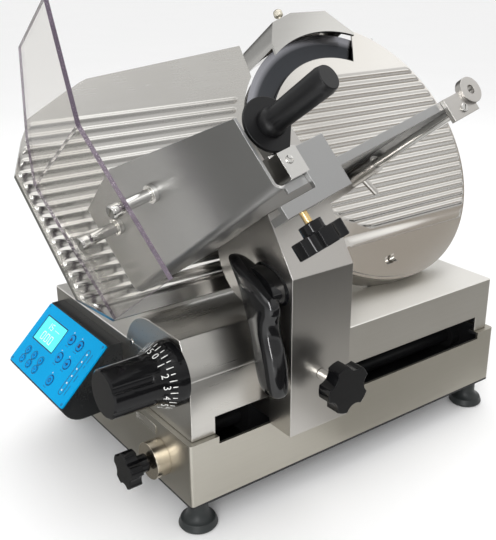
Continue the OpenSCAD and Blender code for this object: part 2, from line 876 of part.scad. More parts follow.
// Side view of the panel's housing, as (x, z)
module panel_side() {
    low = [panel_top_x - panel_w * cos(panel_slope), panel_top_z - panel_w * sin(panel_slope)];
    polygon(concat(
        [[body_inset, panel_top_z], [panel_top_x, panel_top_z], low],
        arc(low + [26, 8], 27, 200, 270, 6),
        [[0, low[1] - 17], [0, base_h], [body_inset, base_h]]));
}

module panel_housing() {
    color("black") difference() {
        in_base() translate([0, panel_y0 + panel_l, 0]) rotate([90, 0, 0])
            linear_extrude(panel_l) panel_side();
        in_panel() for (k = big_keys) translate([k[0], k[1], -1]) cylinder(d = key_d + 1, h = 5);
        in_panel() for (k = small_keys) for (x = small_rows) translate([x, k, -1])
            cylinder(d = small_key_d + 1, h = 5);
    }
}

module keypad() {
    color("deepskyblue") in_panel() difference() {
        translate([-panel_w / 2 + 1.5, -panel_l / 2 + 1.5, 0]) linear_extrude(pad_t)
            round_rect(panel_w - 3, panel_l - 3, 3);
        for (k = big_keys) translate([k[0], k[1], -1]) cylinder(d = key_d + 2 * pass, h = 9);
        for (k = small_keys) for (x = small_rows) translate([x, k, -1])
            cylinder(d = small_key_d + 2 * pass, h = 9);
        translate([lcd_at[0], lcd_at[1], -1]) cube([lcd_size[0], lcd_size[1], 9]);
    }
}

module display() {
    color("cyan") in_panel() translate([lcd_at[0] + seat, lcd_at[1] + seat, 0])
        cube([lcd_size[0] - 2 * seat, lcd_size[1] - 2 * seat, pad_t - 0.4]);
}

module big_key(i) {
    color("dodgerblue") in_panel() translate([big_keys[i][0], big_keys[i][1], 0])
        cylinder(d = key_d, h = pad_t + key_gap);
}

module small_key(i, row) {
    color("dodgerblue") in_panel() translate([small_rows[row], small_keys[i], 0])
        cylinder(d = small_key_d, h = pad_t + key_gap);
}

// Blade

module blade_head() {
    color("lightgray") difference() {
        in_blade() union() {
            translate([0, 0, head_back]) linear_extrude(head_t) circle(ring_in - 10);
            translate([0, 0, head_back]) linear_extrude(head_t) intersection() {
                circle(ring_out);
                sector(open_to - 360, open_from - 6, far);
            }
            translate([0, 0, head_back]) linear_extrude(cover_n - head_back) difference() {
                intersection() {
                    circle(ring_out);
                    sector(open_to - 360, open_from - 6, far);
                }
                circle(ring_in);
            }
            translate([0, 0, bay_back]) linear_extrude(head_back - bay_back + eps) difference() {
                pear(bay_top_r + housing_t, bay_low_r + housing_t, belt_span);
                pear(bay_top_r, bay_low_r, belt_span);
            }
            translate([0, 0, head_back - boss_l]) cylinder(r = bearing_r + 9, h = boss_l + eps);
            translate([post_x, bay_top_r - 2, post_n]) rotate([-90, 0, 0]) {
                cylinder(d = post_d + 12, h = 26);
                cylinder(d = post_d, h = post_top - bay_top_r + 2);
            }
        }
        in_blade() translate([0, 0, head_back - boss_l - 1]) cylinder(r = bearing_r + seat, h = boss_l - 3);
        in_blade() translate([0, 0, head_back - 8]) cylinder(d = spindle_d + 6, h = 40);
        below(deck_h);
    }
}

module belt_cover() {
    color("gainsboro") difference() {
        in_blade() translate([0, 0, bay_back - 4]) linear_extrude(4)
            pear(bay_top_r + housing_t, bay_low_r + housing_t, belt_span);
        below(deck_h);
    }
}

module spindle() {
    color("silver") in_blade() {
        translate([0, 0, bay_back + 2]) cylinder(d = spindle_d, h = flange_n - bay_back - 2 + eps);
        translate([0, 0, flange_n]) cylinder(r = 38, h = flange_t);
        translate([0, 0, flange_n]) cylinder(r = 20, h = flange_t + 3);
    }
}

module bearings() {
    color("silver") in_blade() for (n = [head_back - boss_l, head_back - 4 - bearing_w])
        translate([0, 0, n]) difference() {
            cylinder(r = bearing_r, h = bearing_w);
            translate([0, 0, -1]) cylinder(r = spindle_d / 2 + run, h = bearing_w + 2);
        }
}

module blade() {
    color("slategray") in_blade() rotate_extrude($fn = 128) polygon([
        [20 + seat, blade_back], [blade_r - 26, blade_back], [blade_r - 1, edge_n - 1.2], [blade_r, edge_n],
        [blade_r - 6, edge_n - 1.2], [cover_in - 2, dish_n], [20 + seat, dish_n]
    ]);
}

// Outline of the blade's cover, shrunk by d
module cover_outline(d) {
    circle(cover_in - d);
    intersection() {
        circle(ring_out - d);
        sector(open_to - 360, open_from, far);
    }
}

module blade_cover() {
    rib_top = 104;
    rib_end = -112;
    top_n = cover_n + cover_t;
    color("gainsboro") in_blade() {
        translate([0, 0, cover_n]) linear_extrude(cover_t) cover_outline(0);
        translate([0, 0, dish_n + 1.5]) linear_extrude(cover_n - dish_n - 1.5 + eps) difference() {
            circle(cover_in);
            circle(cover_in - 4);
        }
        intersection() {
            ribs(-ring_out, ring_out, rib_top, rib_end, top_n - rib_r + 2);
            translate([0, 0, cover_n + 1]) linear_extrude(rib_r + cover_t) rib_field();
        }
        translate([0, 0, top_n - eps]) linear_extrude(1.5) intersection() {
            cover_outline(4);
            translate([-far, rib_end - 16 - far]) square([2 * far, far]);
        }
        translate([-20, -159, top_n]) {
            cylinder(d = 7, h = 7);
            translate([0, 0, 5]) cylinder(d = 11, h = 6);
        }
    }
}

// Where the cover has ribs: clear of its rim, and further in beside the open side
module rib_field() {
    circle(cover_in - 22);
    intersection() {
        circle(ring_out - 6);
        sector(open_to - 340, open_from - 14, far);
    }
}

module wheel(r, bore) {
    difference() {
        union() {
            cylinder(r = r, h = belt_w + 4);
            cylinder(r = r + 3, h = 2);
            translate([0, 0, belt_w + 2]) cylinder(r = r + 3, h = 2);
        }
        translate([0, 0, -1]) cylinder(d = bore, h = belt_w + 6);
    }
}

module blade_pulley() {
    color("gray") in_blade() translate([0, 0, pulley_n]) wheel(pulley_d / 2, spindle_d + 2 * seat);
}

module motor_pulley() {
    color("gray") in_blade() translate([0, -belt_span, pulley_n])
        wheel(motor_pulley_d / 2, motor_shaft_d + 2 * run);
}

module blade_belt() {
    inner = 0.4;
    thick = 3;
    color("black") in_blade() translate([0, 0, pulley_n + 2.5]) linear_extrude(belt_w - 1) difference() {
        pear(pulley_d / 2 + inner + thick, motor_pulley_d / 2 + inner + thick, belt_span);
        pear(pulley_d / 2 + inner, motor_pulley_d / 2 + inner, belt_span);
    }
}

module blade_motor() {
    flange_y = side(0, motor_n)[0] - tan(tilt) * (side(0, motor_n)[1] - deck_h + wall);
    color("dimgray") {
        in_blade() translate([0, -belt_span, motor_n]) {
            rotate([180, 0, 0]) cylinder(d = motor_d, h = motor_l);
            cylinder(d = motor_shaft_d, h = pulley_n - motor_n + belt_w + 2);
        }
        difference() {
            in_blade() translate([-motor_d / 2 - 10, -belt_span - motor_d / 2 - 2, motor_n - 2])
                cube([motor_d + 20, 200, 6]);
            in_base() translate([0, 0, deck_h - wall - 3]) cube([base_l, base_d, far]);
        }
        in_base() translate([blade_x - motor_d / 2 - 12, flange_y - 14, deck_h - wall - 6])
            cube([motor_d + 24, 46, 6]);
    }
}

// Sharpener

// Outline of the sharpener's hood in the blade's plane, above a circle of radius r
module hood_outline(r) {
    top = blade_r + 25;
    difference() {
        polygon([
            [-92, top - 80], [-92, top - 40], [-78, top - 12], [-42, top], [20, top], [56, top - 36],
            [56, top - 80]
        ]);
        circle(r);
    }
}

// Hollow of the hood over the blade's edge
module hood_hollow() {
    top = blade_r + 20.5;
    polygon([
        [-87, top - 95], [-87, top - 35], [-75, top - 11], [-41, top], [18, top], [51, top - 33],
        [51, top - 95]
    ]);
}

module sharpener_hood() {
    color("gainsboro") in_blade() {
        difference() {
            union() {
                translate([0, 0, hood_back]) linear_extrude(hood_front - hood_back) hood_outline(ring_in);
                translate([0, 0, hood_front - 4]) linear_extrude(4) hood_outline(blade_r - 6);
            }
            translate([0, 0, post_n + 14]) linear_extrude(hood_front - 4 - post_n - 14) hood_hollow();
            translate([post_x, 100, post_n]) rotate([-90, 0, 0])
                cylinder(d = post_d + 2 * run, h = post_top + 3 - 100);
            translate([knob_x, 150, knob_n]) rotate([-90, 0, 0]) cylinder(d = knob_pin_d + 2 * run, h = 60);
        }
        for (x = stone_x) translate([x, stone_t - 1, stone_n]) rotate([-90, 0, 0])
            cylinder(d = stone_pin_d, h = blade_r + 23 - stone_t);
    }
}

module stone(i) {
    color("rosybrown") in_blade() translate([stone_x[i], stone_t, stone_n]) rotate([-90, 0, 0]) difference() {
        cylinder(r = stone_r, h = 7);
        translate([0, 0, -1]) cylinder(d = stone_pin_d + 2 * run, h = 9);
    }
}

module sharpener_knob() {
    color("darkkhaki") in_blade() translate([knob_x, blade_r + 11, knob_n]) rotate([-90, 0, 0]) {
        cylinder(d = knob_pin_d, h = 16);
        translate([0, 0, 20]) sphere(d = 13);
    }
}

lower_base();
bottom_plate();
feet();
upper_body();
carriage_rod();
carriage_block();
drive_motor();
drive_pulley();
idler_pulley();
drive_belt();
carriage_arm();
carriage_handle();
front_knob();
tray();
brace_rod();
brace_socket();
brace_bracket();
clear_guard();
guard_fixings();
pusher_rail();
pusher_block();
pusher_plate();
hand_guard();
pusher_grip();
rail_clamp();
wing_knob();
gauge_plate();
gauge_slide();
gauge_guide();
dial_knob();
lock_collar();
lock_knob();
blade_head();
belt_cover();
spindle();
bearings();
blade();
blade_cover();
blade_pulley();
blade_motor();
motor_pulley();
blade_belt();
sharpener_hood();
sharpener_knob();
stone(0);  // stone_left
stone(1);  // stone_right
panel_housing();
keypad();
display();
big_key(0);  // key_start
big_key(1);  // key_stop
big_key(2);  // key_left
big_key(3);  // key_right
big_key(4);  // key_reset
small_key(0, 0);  // key_count_up
small_key(0, 1);  // key_count_down
small_key(1, 0);  // key_speed_up
small_key(1, 1);  // key_speed_down
small_key(2, 0);  // key_stroke_up
small_key(2, 1);  // key_stroke_down
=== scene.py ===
# %% [markdown]
# # An automatic food slicer
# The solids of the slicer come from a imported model: every casting, sheet and knob is already in its
# place, in metres. This lesson gives them their looks: rounded edges, ground and polished metal,
# clear plastic, a keypad with a lit display, and a numbered dial. We never move a solid. Where a
# shape needs more detail, a new piece stands in for it and rides on the same moving body.

# %% Load the frame
import json
from math import cos, pi, radians, sin

import bmesh
import bpy
import numpy as np
from mathutils import Matrix, Vector


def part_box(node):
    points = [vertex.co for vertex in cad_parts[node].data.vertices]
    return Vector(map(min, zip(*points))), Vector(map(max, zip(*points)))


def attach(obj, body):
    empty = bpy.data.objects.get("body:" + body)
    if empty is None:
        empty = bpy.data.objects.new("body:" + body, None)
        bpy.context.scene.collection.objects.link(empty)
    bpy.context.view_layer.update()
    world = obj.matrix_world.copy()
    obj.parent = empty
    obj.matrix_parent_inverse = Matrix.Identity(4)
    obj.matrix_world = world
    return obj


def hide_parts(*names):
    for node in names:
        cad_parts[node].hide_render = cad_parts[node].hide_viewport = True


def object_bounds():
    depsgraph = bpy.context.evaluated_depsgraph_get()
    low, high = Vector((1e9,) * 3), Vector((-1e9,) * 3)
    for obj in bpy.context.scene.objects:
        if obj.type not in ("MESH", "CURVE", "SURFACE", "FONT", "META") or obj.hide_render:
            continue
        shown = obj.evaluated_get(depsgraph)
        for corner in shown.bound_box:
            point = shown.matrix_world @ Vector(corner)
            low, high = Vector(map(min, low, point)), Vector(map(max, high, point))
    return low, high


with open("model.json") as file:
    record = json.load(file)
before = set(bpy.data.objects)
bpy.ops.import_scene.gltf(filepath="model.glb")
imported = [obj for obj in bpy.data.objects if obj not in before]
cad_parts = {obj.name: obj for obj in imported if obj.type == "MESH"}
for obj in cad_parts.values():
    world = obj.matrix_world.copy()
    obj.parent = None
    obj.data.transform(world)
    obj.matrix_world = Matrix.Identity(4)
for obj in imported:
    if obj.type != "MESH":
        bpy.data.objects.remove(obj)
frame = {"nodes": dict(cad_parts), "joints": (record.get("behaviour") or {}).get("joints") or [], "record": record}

cad_box = [list(corner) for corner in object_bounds()]
bodies = frame["record"]["behaviour"]["bodies"]
body_of = {node: body for body, nodes in bodies.items() for node in nodes}
joints = {joint["name"]: joint for joint in frame["joints"]}

# %% [markdown]
# ## Directions of the machine
# The blade leans back, the tray leans and rolls with it, and the keypad slopes. Rather than typing
# those angles again we read them from the joints: the blade spins about its own normal, the wing
# knob turns about the tray floor's normal, and a key is pressed straight into the keypad. Two known
# directions and a cross product give the third.

# %% Local frames from the joints
def unit(v):
    """A vector divided by its own length."""
    v = np.asarray(v, float)
    return v / np.linalg.norm(v)


x_way, y_way, z_way = np.eye(3)
blade_n = unit(joints["blade_spin"]["axis"])
blade_t = np.cross(blade_n, x_way)
blade_c = np.array(joints["blade_spin"]["pos_m"])
blade_axes = np.array([x_way, blade_t, blade_n])
tray_v = unit(joints["wing_knob_turn"]["axis"])
tray_u = np.cross(tray_v, blade_n)
tray_axes = np.array([tray_u, tray_v, blade_n])
panel_n = -unit(joints["key_start_press"]["axis"])
panel_axes = np.array([np.cross(y_way, panel_n), y_way, panel_n])
bottom_plate_t = 0.003
base_zero = np.array(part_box("lower_base")[0]) - bottom_plate_t * z_way


def points_of(mesh):
    """A mesh's vertices as an array (n, 3)."""
    points = np.empty(len(mesh.vertices) * 3)
    mesh.vertices.foreach_get("co", points)
    return points.reshape(-1, 3)


def reach(node, axes):
    """A solid's lowest and highest reach along three directions."""
    seen = points_of(frame["nodes"][node].data) @ axes.T
    return seen.min(0), seen.max(0)


def on_blade(points):
    """Metres across, up the slope and out from the blade's middle, as places in the frame."""
    return blade_c + np.asarray(points, float) @ blade_axes


def on_base(points):
    """Millimetres from the base's front left lower corner, as places in the frame."""
    return base_zero + np.asarray(points, float) / 1000.0


print("blade leans", round(float(np.degrees(np.arcsin(blade_n[2]))), 1), "degrees")

# %% [markdown]
# ## Camera
# The camera stands to the front left, a little above the tray, and looks down at the machine. Its
# place was worked out from the straight edges of the base and the round edge of the blade. The
# picture is 496 by 540, so the 36 mm sensor covers the tall side.

# %% Place the camera
def linked(name, data):
    """A new object in the scene, for a camera, a mesh or a lamp."""
    made = bpy.data.objects.new(name, data)
    bpy.context.collection.objects.link(made)
    return made


yaw, pitch, roll = radians(36.17), radians(21.32), radians(-0.29)
eye = on_base([-390.85, -640.95, 576.33])
lens = bpy.data.cameras.new("photo_camera")
lens.sensor_width, lens.lens = 36.0, 54.9
camera = linked("photo_camera", lens)
aim = Matrix.Rotation(-yaw, 4, "Z") @ Matrix.Rotation(pi / 2 - pitch, 4, "X")
camera.matrix_world = Matrix.Translation(eye) @ aim @ Matrix.Rotation(roll, 4, "Z")
bpy.context.scene.camera = camera
print("camera at", np.round(eye, 3))

# %% [markdown]
# ## Shader arithmetic
# A finish such as brushed steel is arithmetic on noise: streaks times a little, plus clouds times a
# little. Writing that as a Python expression is easier to read than a graph, so one small class
# wraps a socket, and each operator adds a Math node. Anything else is made by its `node` method.

# %% A socket that can do sums
def operator(operation, reflected=False):
    """A method that adds one Math node; the reflected form is for sums such as 1 - mask."""

    def method(self, other):
        return self.math(operation, *((other, self) if reflected else (self, other)))

    return method


class Wire:
    """A socket in a material's graph. Operators add Math nodes; node() adds any other kind."""

    def __init__(self, tree, socket=None):
        self.tree, self.socket = tree, socket

    def node(self, kind, settings=None, sockets=None, out=0):
        """A new node: its settings first, then the values or wires of its sockets."""
        made = self.tree.nodes.new("ShaderNode" + kind)
        for name, value in (settings or {}).items():
            if name == "stops":
                ramp = made.color_ramp.elements
                for i, (at, colour) in enumerate(value):
                    stop = ramp[i] if i < 2 else ramp.new(at)
                    stop.position, stop.color = at, (*colour, 1.0)
            else:
                setattr(made, name, value)
        for name, value in (sockets or {}).items():
            if isinstance(value, Wire):
                self.tree.links.new(value.socket, made.inputs[name])
            else:
                made.inputs[name].default_value = value
        return Wire(self.tree, made.outputs[out])

    def math(self, operation, a, b=0.0, clamp=False):
        """One Math node on two values."""
        return self.node("Math", {"operation": operation, "use_clamp": clamp}, {0: a, 1: b})

    __add__, __radd__ = operator("ADD"), operator("ADD", True)
    __sub__, __rsub__ = operator("SUBTRACT"), operator("SUBTRACT", True)
    __mul__, __rmul__ = operator("MULTIPLY"), operator("MULTIPLY", True)
    __gt__, __lt__ = operator("GREATER_THAN"), operator("LESS_THAN")

    def clamped(self):
        """The same value, held between 0 and 1."""
        return self.math("ADD", self, 0.0, clamp=True)

    def step(self, low, high):
        """0 below low, 1 above high, a straight ramp between."""
        ends = {"Value": self, "From Min": low, "From Max": high}
        return self.node("MapRange", {"clamp": True}, ends)

    def blend(self, a, b):
        """Colour a where this value is 0, colour b where it is 1."""
        a, b = (c if isinstance(c, Wire) else (*c, 1.0) for c in (a, b))
        return self.node("Mix", {"data_type": "RGBA"}, {0: self, 6: a, 7: b}, out=2)

    def bump(self, strength, depth):
        """This value as fine relief, of a strength and a depth in metres, for Normal."""
        relief = {"Strength": strength, "Distance": depth, "Height": self}
        return self.node("Bump", {}, relief)


def finish(name, fixed, look):
    """A material: numbers on the shader's own sockets, then the wires that look(start) returns."""
    made = bpy.data.materials.new(name)
    made.use_nodes = True
    shader = made.node_tree.nodes["Principled BSDF"]
    for socket, value in fixed.items():
        shader.inputs[socket].default_value = value
    for socket, wire in look(Wire(made.node_tree)).items():
        made.node_tree.links.new(wire.socket, shader.inputs[socket])
    return made


def noise(start, scale, detail=2.0, rough=0.5, stretch=None):
    """Noise on the piece's own coordinates, finest along the directions of a large stretch."""
    place = start.node("TexCoord", out="Object")
    if stretch:
        place = start.node("Mapping", {}, {"Vector": place, "Scale": stretch})
    sockets = {"Vector": place, "Scale": scale, "Detail": detail, "Roughness": rough}
    return start.node("TexNoise", {}, sockets)


def place_xyz(start):
    """The piece's own coordinates, as three wires."""
    parts = start.node("SeparateXYZ", {}, {0: start.node("TexCoord", out="Object")})
    return [Wire(start.tree, socket) for socket in parts.socket.node.outputs]


print("shader class ready")

# %% [markdown]
# ## Metals
# Ground sheet steel shows fine lines in one direction, a cast and linished box shows soft clouds
# under its lines, and a polished tray mirrors the room through faint smudges. All three are the
# same sum with other numbers: long thin noise for the lines, round noise for the clouds. The lines
# go into a weak Bump as well, which is what spreads a highlight across the grain. The boxes' insides
# are painted black as painted shade, and the deck's face is rougher and painted pale as painted
# light from above; both follow from a point's place, so a mask on the coordinates makes them.

# %% Ground, linished and polished metal
def within(start, low, high):
    """1 where a point lies between the corners low and high, 0 elsewhere."""
    mask = 1.0
    for wire, a, b in zip(place_xyz(start), low, high):
        mask = (wire > a) * (wire < b) * mask
    return mask


def metal(name, tone, rough, lines, clouds, grain,
          lift=0.05, smears=0.35, shaded_box=None, deck=None):
    """Tone falls and roughness rises with lines and clouds.

    Inside a shaded box the colour is black, as painted shade; at a deck's level the face is
    rougher and is painted pale, as painted light from above."""
    dark = tuple(c * k for c, k in zip(tone, (0.70, 0.66, 0.60)))
    light, pale = (tuple(min(1.0, c * k) for c in tone) for k in (1.12, 1.5))
    middle, contrast, black = 0.62, 2.2, (0.008, 0.008, 0.009)

    def look(start):
        line = noise(start, 1.0, 3.0, 0.65, grain)
        cloud = noise(start, 7.0, 3.0, 0.6)
        smear = noise(start, 2.6, 2.0, 0.5, (1.0, 1.0, 0.45)) - 0.5
        dull = (line - 0.5) * lines + (cloud - 0.5) * clouds
        shade = (middle + dull * contrast - smear * smears).clamped().blend(dark, light)
        rub = (rough + dull * 0.9 + smear * 0.12).clamped()
        wires = {"Normal": line.bump(lift, 0.0003)}
        # painted light: the deck's face is drawn paler, as if lit from above, and made rougher
        if deck:
            z = place_xyz(start)[2]
            deck_rough_and_lit = z.step(deck - 0.0012, deck - 0.0008) * (z < deck + 0.0006)
            shade, rub = deck_rough_and_lit.blend(shade, pale), rub + deck_rough_and_lit * 0.16
        # painted shade: inside the hollow box the colour is black and not metallic
        if shaded_box:
            painted_shade = within(start, *shaded_box)
            shade, rub = painted_shade.blend(shade, black), rub + painted_shade * 0.35
            wires["Metallic"] = 1.0 - painted_shade
        return {"Base Color": shade, "Roughness": rub, **wires}

    return finish(name, {"Metallic": 1.0, "IOR": 1.5}, look)


print("metal ready")

# %% The metals
base_low, base_high = (np.array(corner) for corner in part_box("lower_base"))
body_low, body_high = (np.array(corner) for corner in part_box("upper_body"))
bare, hump_h = 0.0032, 0.0425  # the walls' unpainted depth; the hump above the deck
inset = bare * (x_way + y_way)
deck_z = body_high[2] - hump_h
# the hollows inside the base and the body, where black is painted as shade
base_hollow = base_low + inset - z_way, base_high - inset - 2e-4 * z_way
body_hollow = body_low + inset - 1e-3 * z_way, (*(body_high - inset)[:2], deck_z - bare)
along_x, upright = (9.0, 420.0, 420.0), (420.0, 420.0, 9.0)
pressed, turned = (12.0, 480.0, 480.0), (280.0, 280.0, 40.0)
linished_cast = metal("linished_cast", (0.46, 0.45, 0.43), 0.34, 0.08, 0.10, along_x, 0.03)
# the body's deck at deck_z gets painted light; both boxes get painted shade in their hollows
body_cast = metal("body_cast", (0.55, 0.54, 0.515), 0.30, 0.08, 0.10, along_x, 0.03, 1.1,
                  body_hollow, deck_z)
base_cast = metal("base_cast", (0.46, 0.445, 0.40), 0.38, 0.08, 0.12, along_x, 0.03, 0.7,
                  base_hollow)
ground_sheet = metal("ground_sheet", (0.50, 0.49, 0.475), 0.30, 0.05, 0.08, upright, 0.012)
tray_sheet = metal("tray_sheet", (0.36, 0.365, 0.37), 0.36, 0.03, 0.08, (260.0, 14.0, 260.0), 0.004)
ribbed_plate = metal("ribbed_plate", (0.54, 0.53, 0.51), 0.17, 0.05, 0.08, pressed, 0.02, 1.0)
gauge_metal = metal("gauge_metal", (0.45, 0.445, 0.43), 0.27, 0.05, 0.08, pressed, 0.02, 1.0)
hood_sheet = metal("hood_sheet", (0.45, 0.45, 0.44), 0.16, 0.05, 0.09, (14.0, 300.0, 300.0), 0.02)
bright_rod = metal("bright_rod", (0.60, 0.60, 0.59), 0.15, 0.05, 0.05, (300.0, 300.0, 300.0), 0.01)
inner_steel = metal("inner_steel", (0.55, 0.55, 0.56), 0.32, 0.14, 0.10, (300.0, 60.0, 300.0))
brass_metal = metal("brass_metal", (0.72, 0.53, 0.26), 0.24, 0.10, 0.08, turned)
knob_silver = metal("knob_silver", (0.64, 0.61, 0.53), 0.24, 0.08, 0.08, turned)
gold_collar = metal("gold_collar", (0.66, 0.60, 0.50), 0.22, 0.12, 0.08, (500.0, 30.0, 30.0))
print("metals made")

# %% [markdown]
# The blade is turned on a lathe, so its lines are rings. Distance from the spindle, fed to noise,
# gives rings whatever way the blade leans: the dot product with the blade's own two directions
# gives flat coordinates, and their length is the radius. A paler band near the rim is ground.

# %% Blade steel
ring_rate, ground_from, ground_to = 900.0, 0.160, 0.168


def blade_look(start):
    """Rings of noise along the radius, with clouds; paler beyond the ground band's start."""
    place = start.node("TexCoord", out="Object")
    from_hub = start.node("VectorMath", {"operation": "SUBTRACT"}, {0: place, 1: tuple(blade_c)})
    along, across = (
        start.node("VectorMath", {"operation": "DOT_PRODUCT"}, {0: from_hub, 1: tuple(way)}, out=1)
        for way in (x_way, blade_t))
    radius = start.math("SQRT", along * along + across * across)
    ring = start.node("CombineXYZ", {}, {0: radius * ring_rate})
    rings = start.node("TexNoise", {}, {"Vector": ring, "Scale": 1.0, "Detail": 3.0})
    cloud, edge = noise(start, 6.0), radius.step(ground_from, ground_to)
    shade = (rings * 0.6 + cloud * 0.4).blend((0.028, 0.030, 0.033), (0.055, 0.057, 0.063))
    rub = 0.20 + (rings - 0.5) * 0.2 + (cloud - 0.5) * 0.1 + edge * 0.05
    return {"Base Color": edge.blend(shade, (0.24, 0.24, 0.26)), "Roughness": rub,
            "Normal": rings.bump(0.08, 0.0002)}


blade_steel = finish("blade_steel", {"Metallic": 1.0}, blade_look)
print("blade steel made")

# %% [markdown]
# ## Plastics, rubber and paint
# The knobs and the handle are shiny black mouldings: nearly black, smooth, with a faint orange-peel
# ripple and a few dull smears from hands. The pusher's grip is duller. Rubber feet are grey with a
# fine grain. The clear guard lets light through and shows a violet tint only where we look along
# the sheet, so the tint is a finish of its own, kept for the narrow faces.

# %% Mouldings
def coat(name, tones, clouds, rough, stir, grain=None, speck=0.0, relief=None, glow=None,
         fixed=None):
    """Clouds between two tones; roughness = rough + clouds x stir + grain x speck.

    Clouds and grain are noises (size, detail). The grain may be relief (strength, depth), the
    clouds may glow between two tones, and fixed holds the shader's own numbers."""

    def look(start):
        cloud = noise(start, *clouds)
        rub, wires = rough + (cloud - 0.5) * stir, {"Base Color": cloud.blend(*tones)}
        if grain:
            fine = noise(start, *grain)
            rub = rub + (fine - 0.5) * speck
        if relief:
            wires["Normal"] = fine.bump(*relief)
        if glow:
            wires["Emission Color"] = cloud.blend(*glow)
        return {**wires, "Roughness": rub.clamped()}

    return finish(name, fixed or {}, look)


def moulding(name, tone, rough, ripple, grain_size, smear, gloss=0.3):
    """An even coat with smears in its roughness and a fine ripple."""
    tones = [tuple(min(1.0, c * k) for c in tone) for k in (0.75, 1.25)]
    return coat(name, tones, (14.0, 3.0), rough, smear, (grain_size, 2.0), 0.05, (ripple, 0.0004),
                fixed={"IOR": 1.5, "Specular IOR Level": gloss})


gloss_black = moulding("gloss_black", (0.004, 0.004, 0.0045), 0.13, 0.04, 260.0, 0.10, 0.24)
handle_black = moulding("handle_black", (0.004, 0.004, 0.0045), 0.12, 0.04, 260.0, 0.08, 0.5)
grip_black = moulding("grip_black", (0.006, 0.006, 0.0065), 0.34, 0.25, 900.0, 0.16, 0.26)
dull_black = moulding("dull_black", (0.013, 0.013, 0.014), 0.5, 0.2, 700.0, 0.2)
housing_dark = moulding("housing_dark", (0.010, 0.011, 0.012), 0.28, 0.12, 520.0, 0.15)
foot_rubber = moulding("foot_rubber", (0.022, 0.025, 0.025), 0.42, 0.25, 800.0, 0.2)
belt_black = moulding("belt_black", (0.02, 0.02, 0.02), 0.7, 0.3, 600.0, 0.2)
motor_grey = moulding("motor_grey", (0.10, 0.11, 0.12), 0.45, 0.15, 400.0, 0.2)
stone_grit = moulding("stone_grit", (0.34, 0.30, 0.27), 0.85, 0.6, 1500.0, 0.1)
print("mouldings made")

# %% [markdown]
# The keypad is a printed plastic film with a satin grain, the display glows faintly behind its
# glass, and the guard is clear sheet. Each is a short sum again, clouds and a finer noise.

# %% Keypad film, display and clear sheet
def film(name, tones, cloud_size, rough, smear):
    """A satin print: slight clouds, and a fine grain in roughness and relief."""
    return coat(name, tones, (cloud_size,), rough, smear, (1400.0, 1.0), 0.12, (0.06, 0.0002),
                fixed={"IOR": 1.14})


def display_look(start):
    """Tone and glow follow the same clouds; a fine noise stirs the roughness."""
    cloud, fine = noise(start, 22.0), noise(start, 1800.0, 1.0)
    shade = (cloud * 0.8 + fine * 0.2).blend((0.04, 0.80, 0.76), (0.08, 0.92, 0.88))
    glow = cloud.blend((0.04, 0.80, 0.74), (0.08, 0.92, 0.86))
    return {"Base Color": shade, "Emission Color": glow, "Roughness": 0.16 + (fine - 0.5) * 0.08}


keypad_film = film("keypad_film", [(0.001, 0.29, 0.60), (0.002, 0.34, 0.68)], 18.0, 0.36, 0.1)
key_film = film("key_film", [(0.001, 0.23, 0.56), (0.002, 0.28, 0.64)], 60.0, 0.34, 0.0)
display_glow = finish("display_glow", {"Emission Strength": 0.25, "Coat Weight": 0.6}, display_look)
clear_sheet = coat("clear_sheet", [(0.80, 0.785, 0.755), (0.86, 0.845, 0.82)], (5.0,), 0.03, 0.03,
                   (60.0, 3.0), 0.02,
                   fixed={"Transmission Weight": 1.0, "IOR": 1.08, "Coat Weight": 0.6})
clear_edge = coat("clear_edge", [(0.15, 0.12, 0.16), (0.24, 0.19, 0.25)], (20.0,), 0.25, 0.0,
                  (900.0,), 0.2, (0.1, 0.0002), fixed={"Transmission Weight": 0.55, "IOR": 1.2})
print("films and clear sheet made")

# %% [markdown]
# ## Softened copies of the solids
# A real casting has no knife edges: each edge carries a small radius that catches the light. The
# solid's mesh must not change, so we copy it, merge its loose triangles, dissolve the flat ones
# into whole faces, and let a Bevel modifier round every sharp edge. The copy then stands in for the
# solid and rides on the same body. On two plates the plain ribs are lowered to the plate's face
# first, because a skin of pressed rolls will take their place.

# %% Copy, merge and bevel
rib_rise, cover_top, sharp_angle = 0.0022, -0.002, 30.0
plate_top = reach("gauge_plate", blade_axes)[1][2] - blade_c @ blade_n - rib_rise
flat_above = {"gauge_plate": (plate_top, -0.2), "blade_cover": (cover_top, -0.12)}


def ribs_lowered(mesh, face_n, from_t):
    """Points above a plate's face, and up its slope from a line, come down onto the face."""
    points = points_of(mesh)
    rise, along = (points - blade_c) @ blade_n, (points - blade_c) @ blade_t
    on_rib = (along > from_t) & (rise > face_n)
    points -= np.where(on_rib, rise - face_n, 0.0)[:, None] * blade_n
    mesh.vertices.foreach_set("co", points.reshape(-1))


def set_down(name, mesh, material, body, sharp):
    """A mesh as a piece on a body: one finish, smooth faces, edges sharp above an angle."""
    mesh.shade_smooth()
    mesh.set_sharp_from_angle(angle=radians(sharp))
    mesh.materials.clear()
    mesh.materials.append(material)
    piece = linked(name, mesh)
    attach(piece, body)
    return piece


def rounded(piece, width, angle):
    """A Bevel modifier, two segments wide, on the edges sharper than an angle."""
    bevel = piece.modifiers.new("rounded_edges", "BEVEL")
    bevel.width, bevel.segments, bevel.limit_method = width, 2, "ANGLE"
    bevel.angle_limit, bevel.harden_normals = radians(angle), True
    return bevel


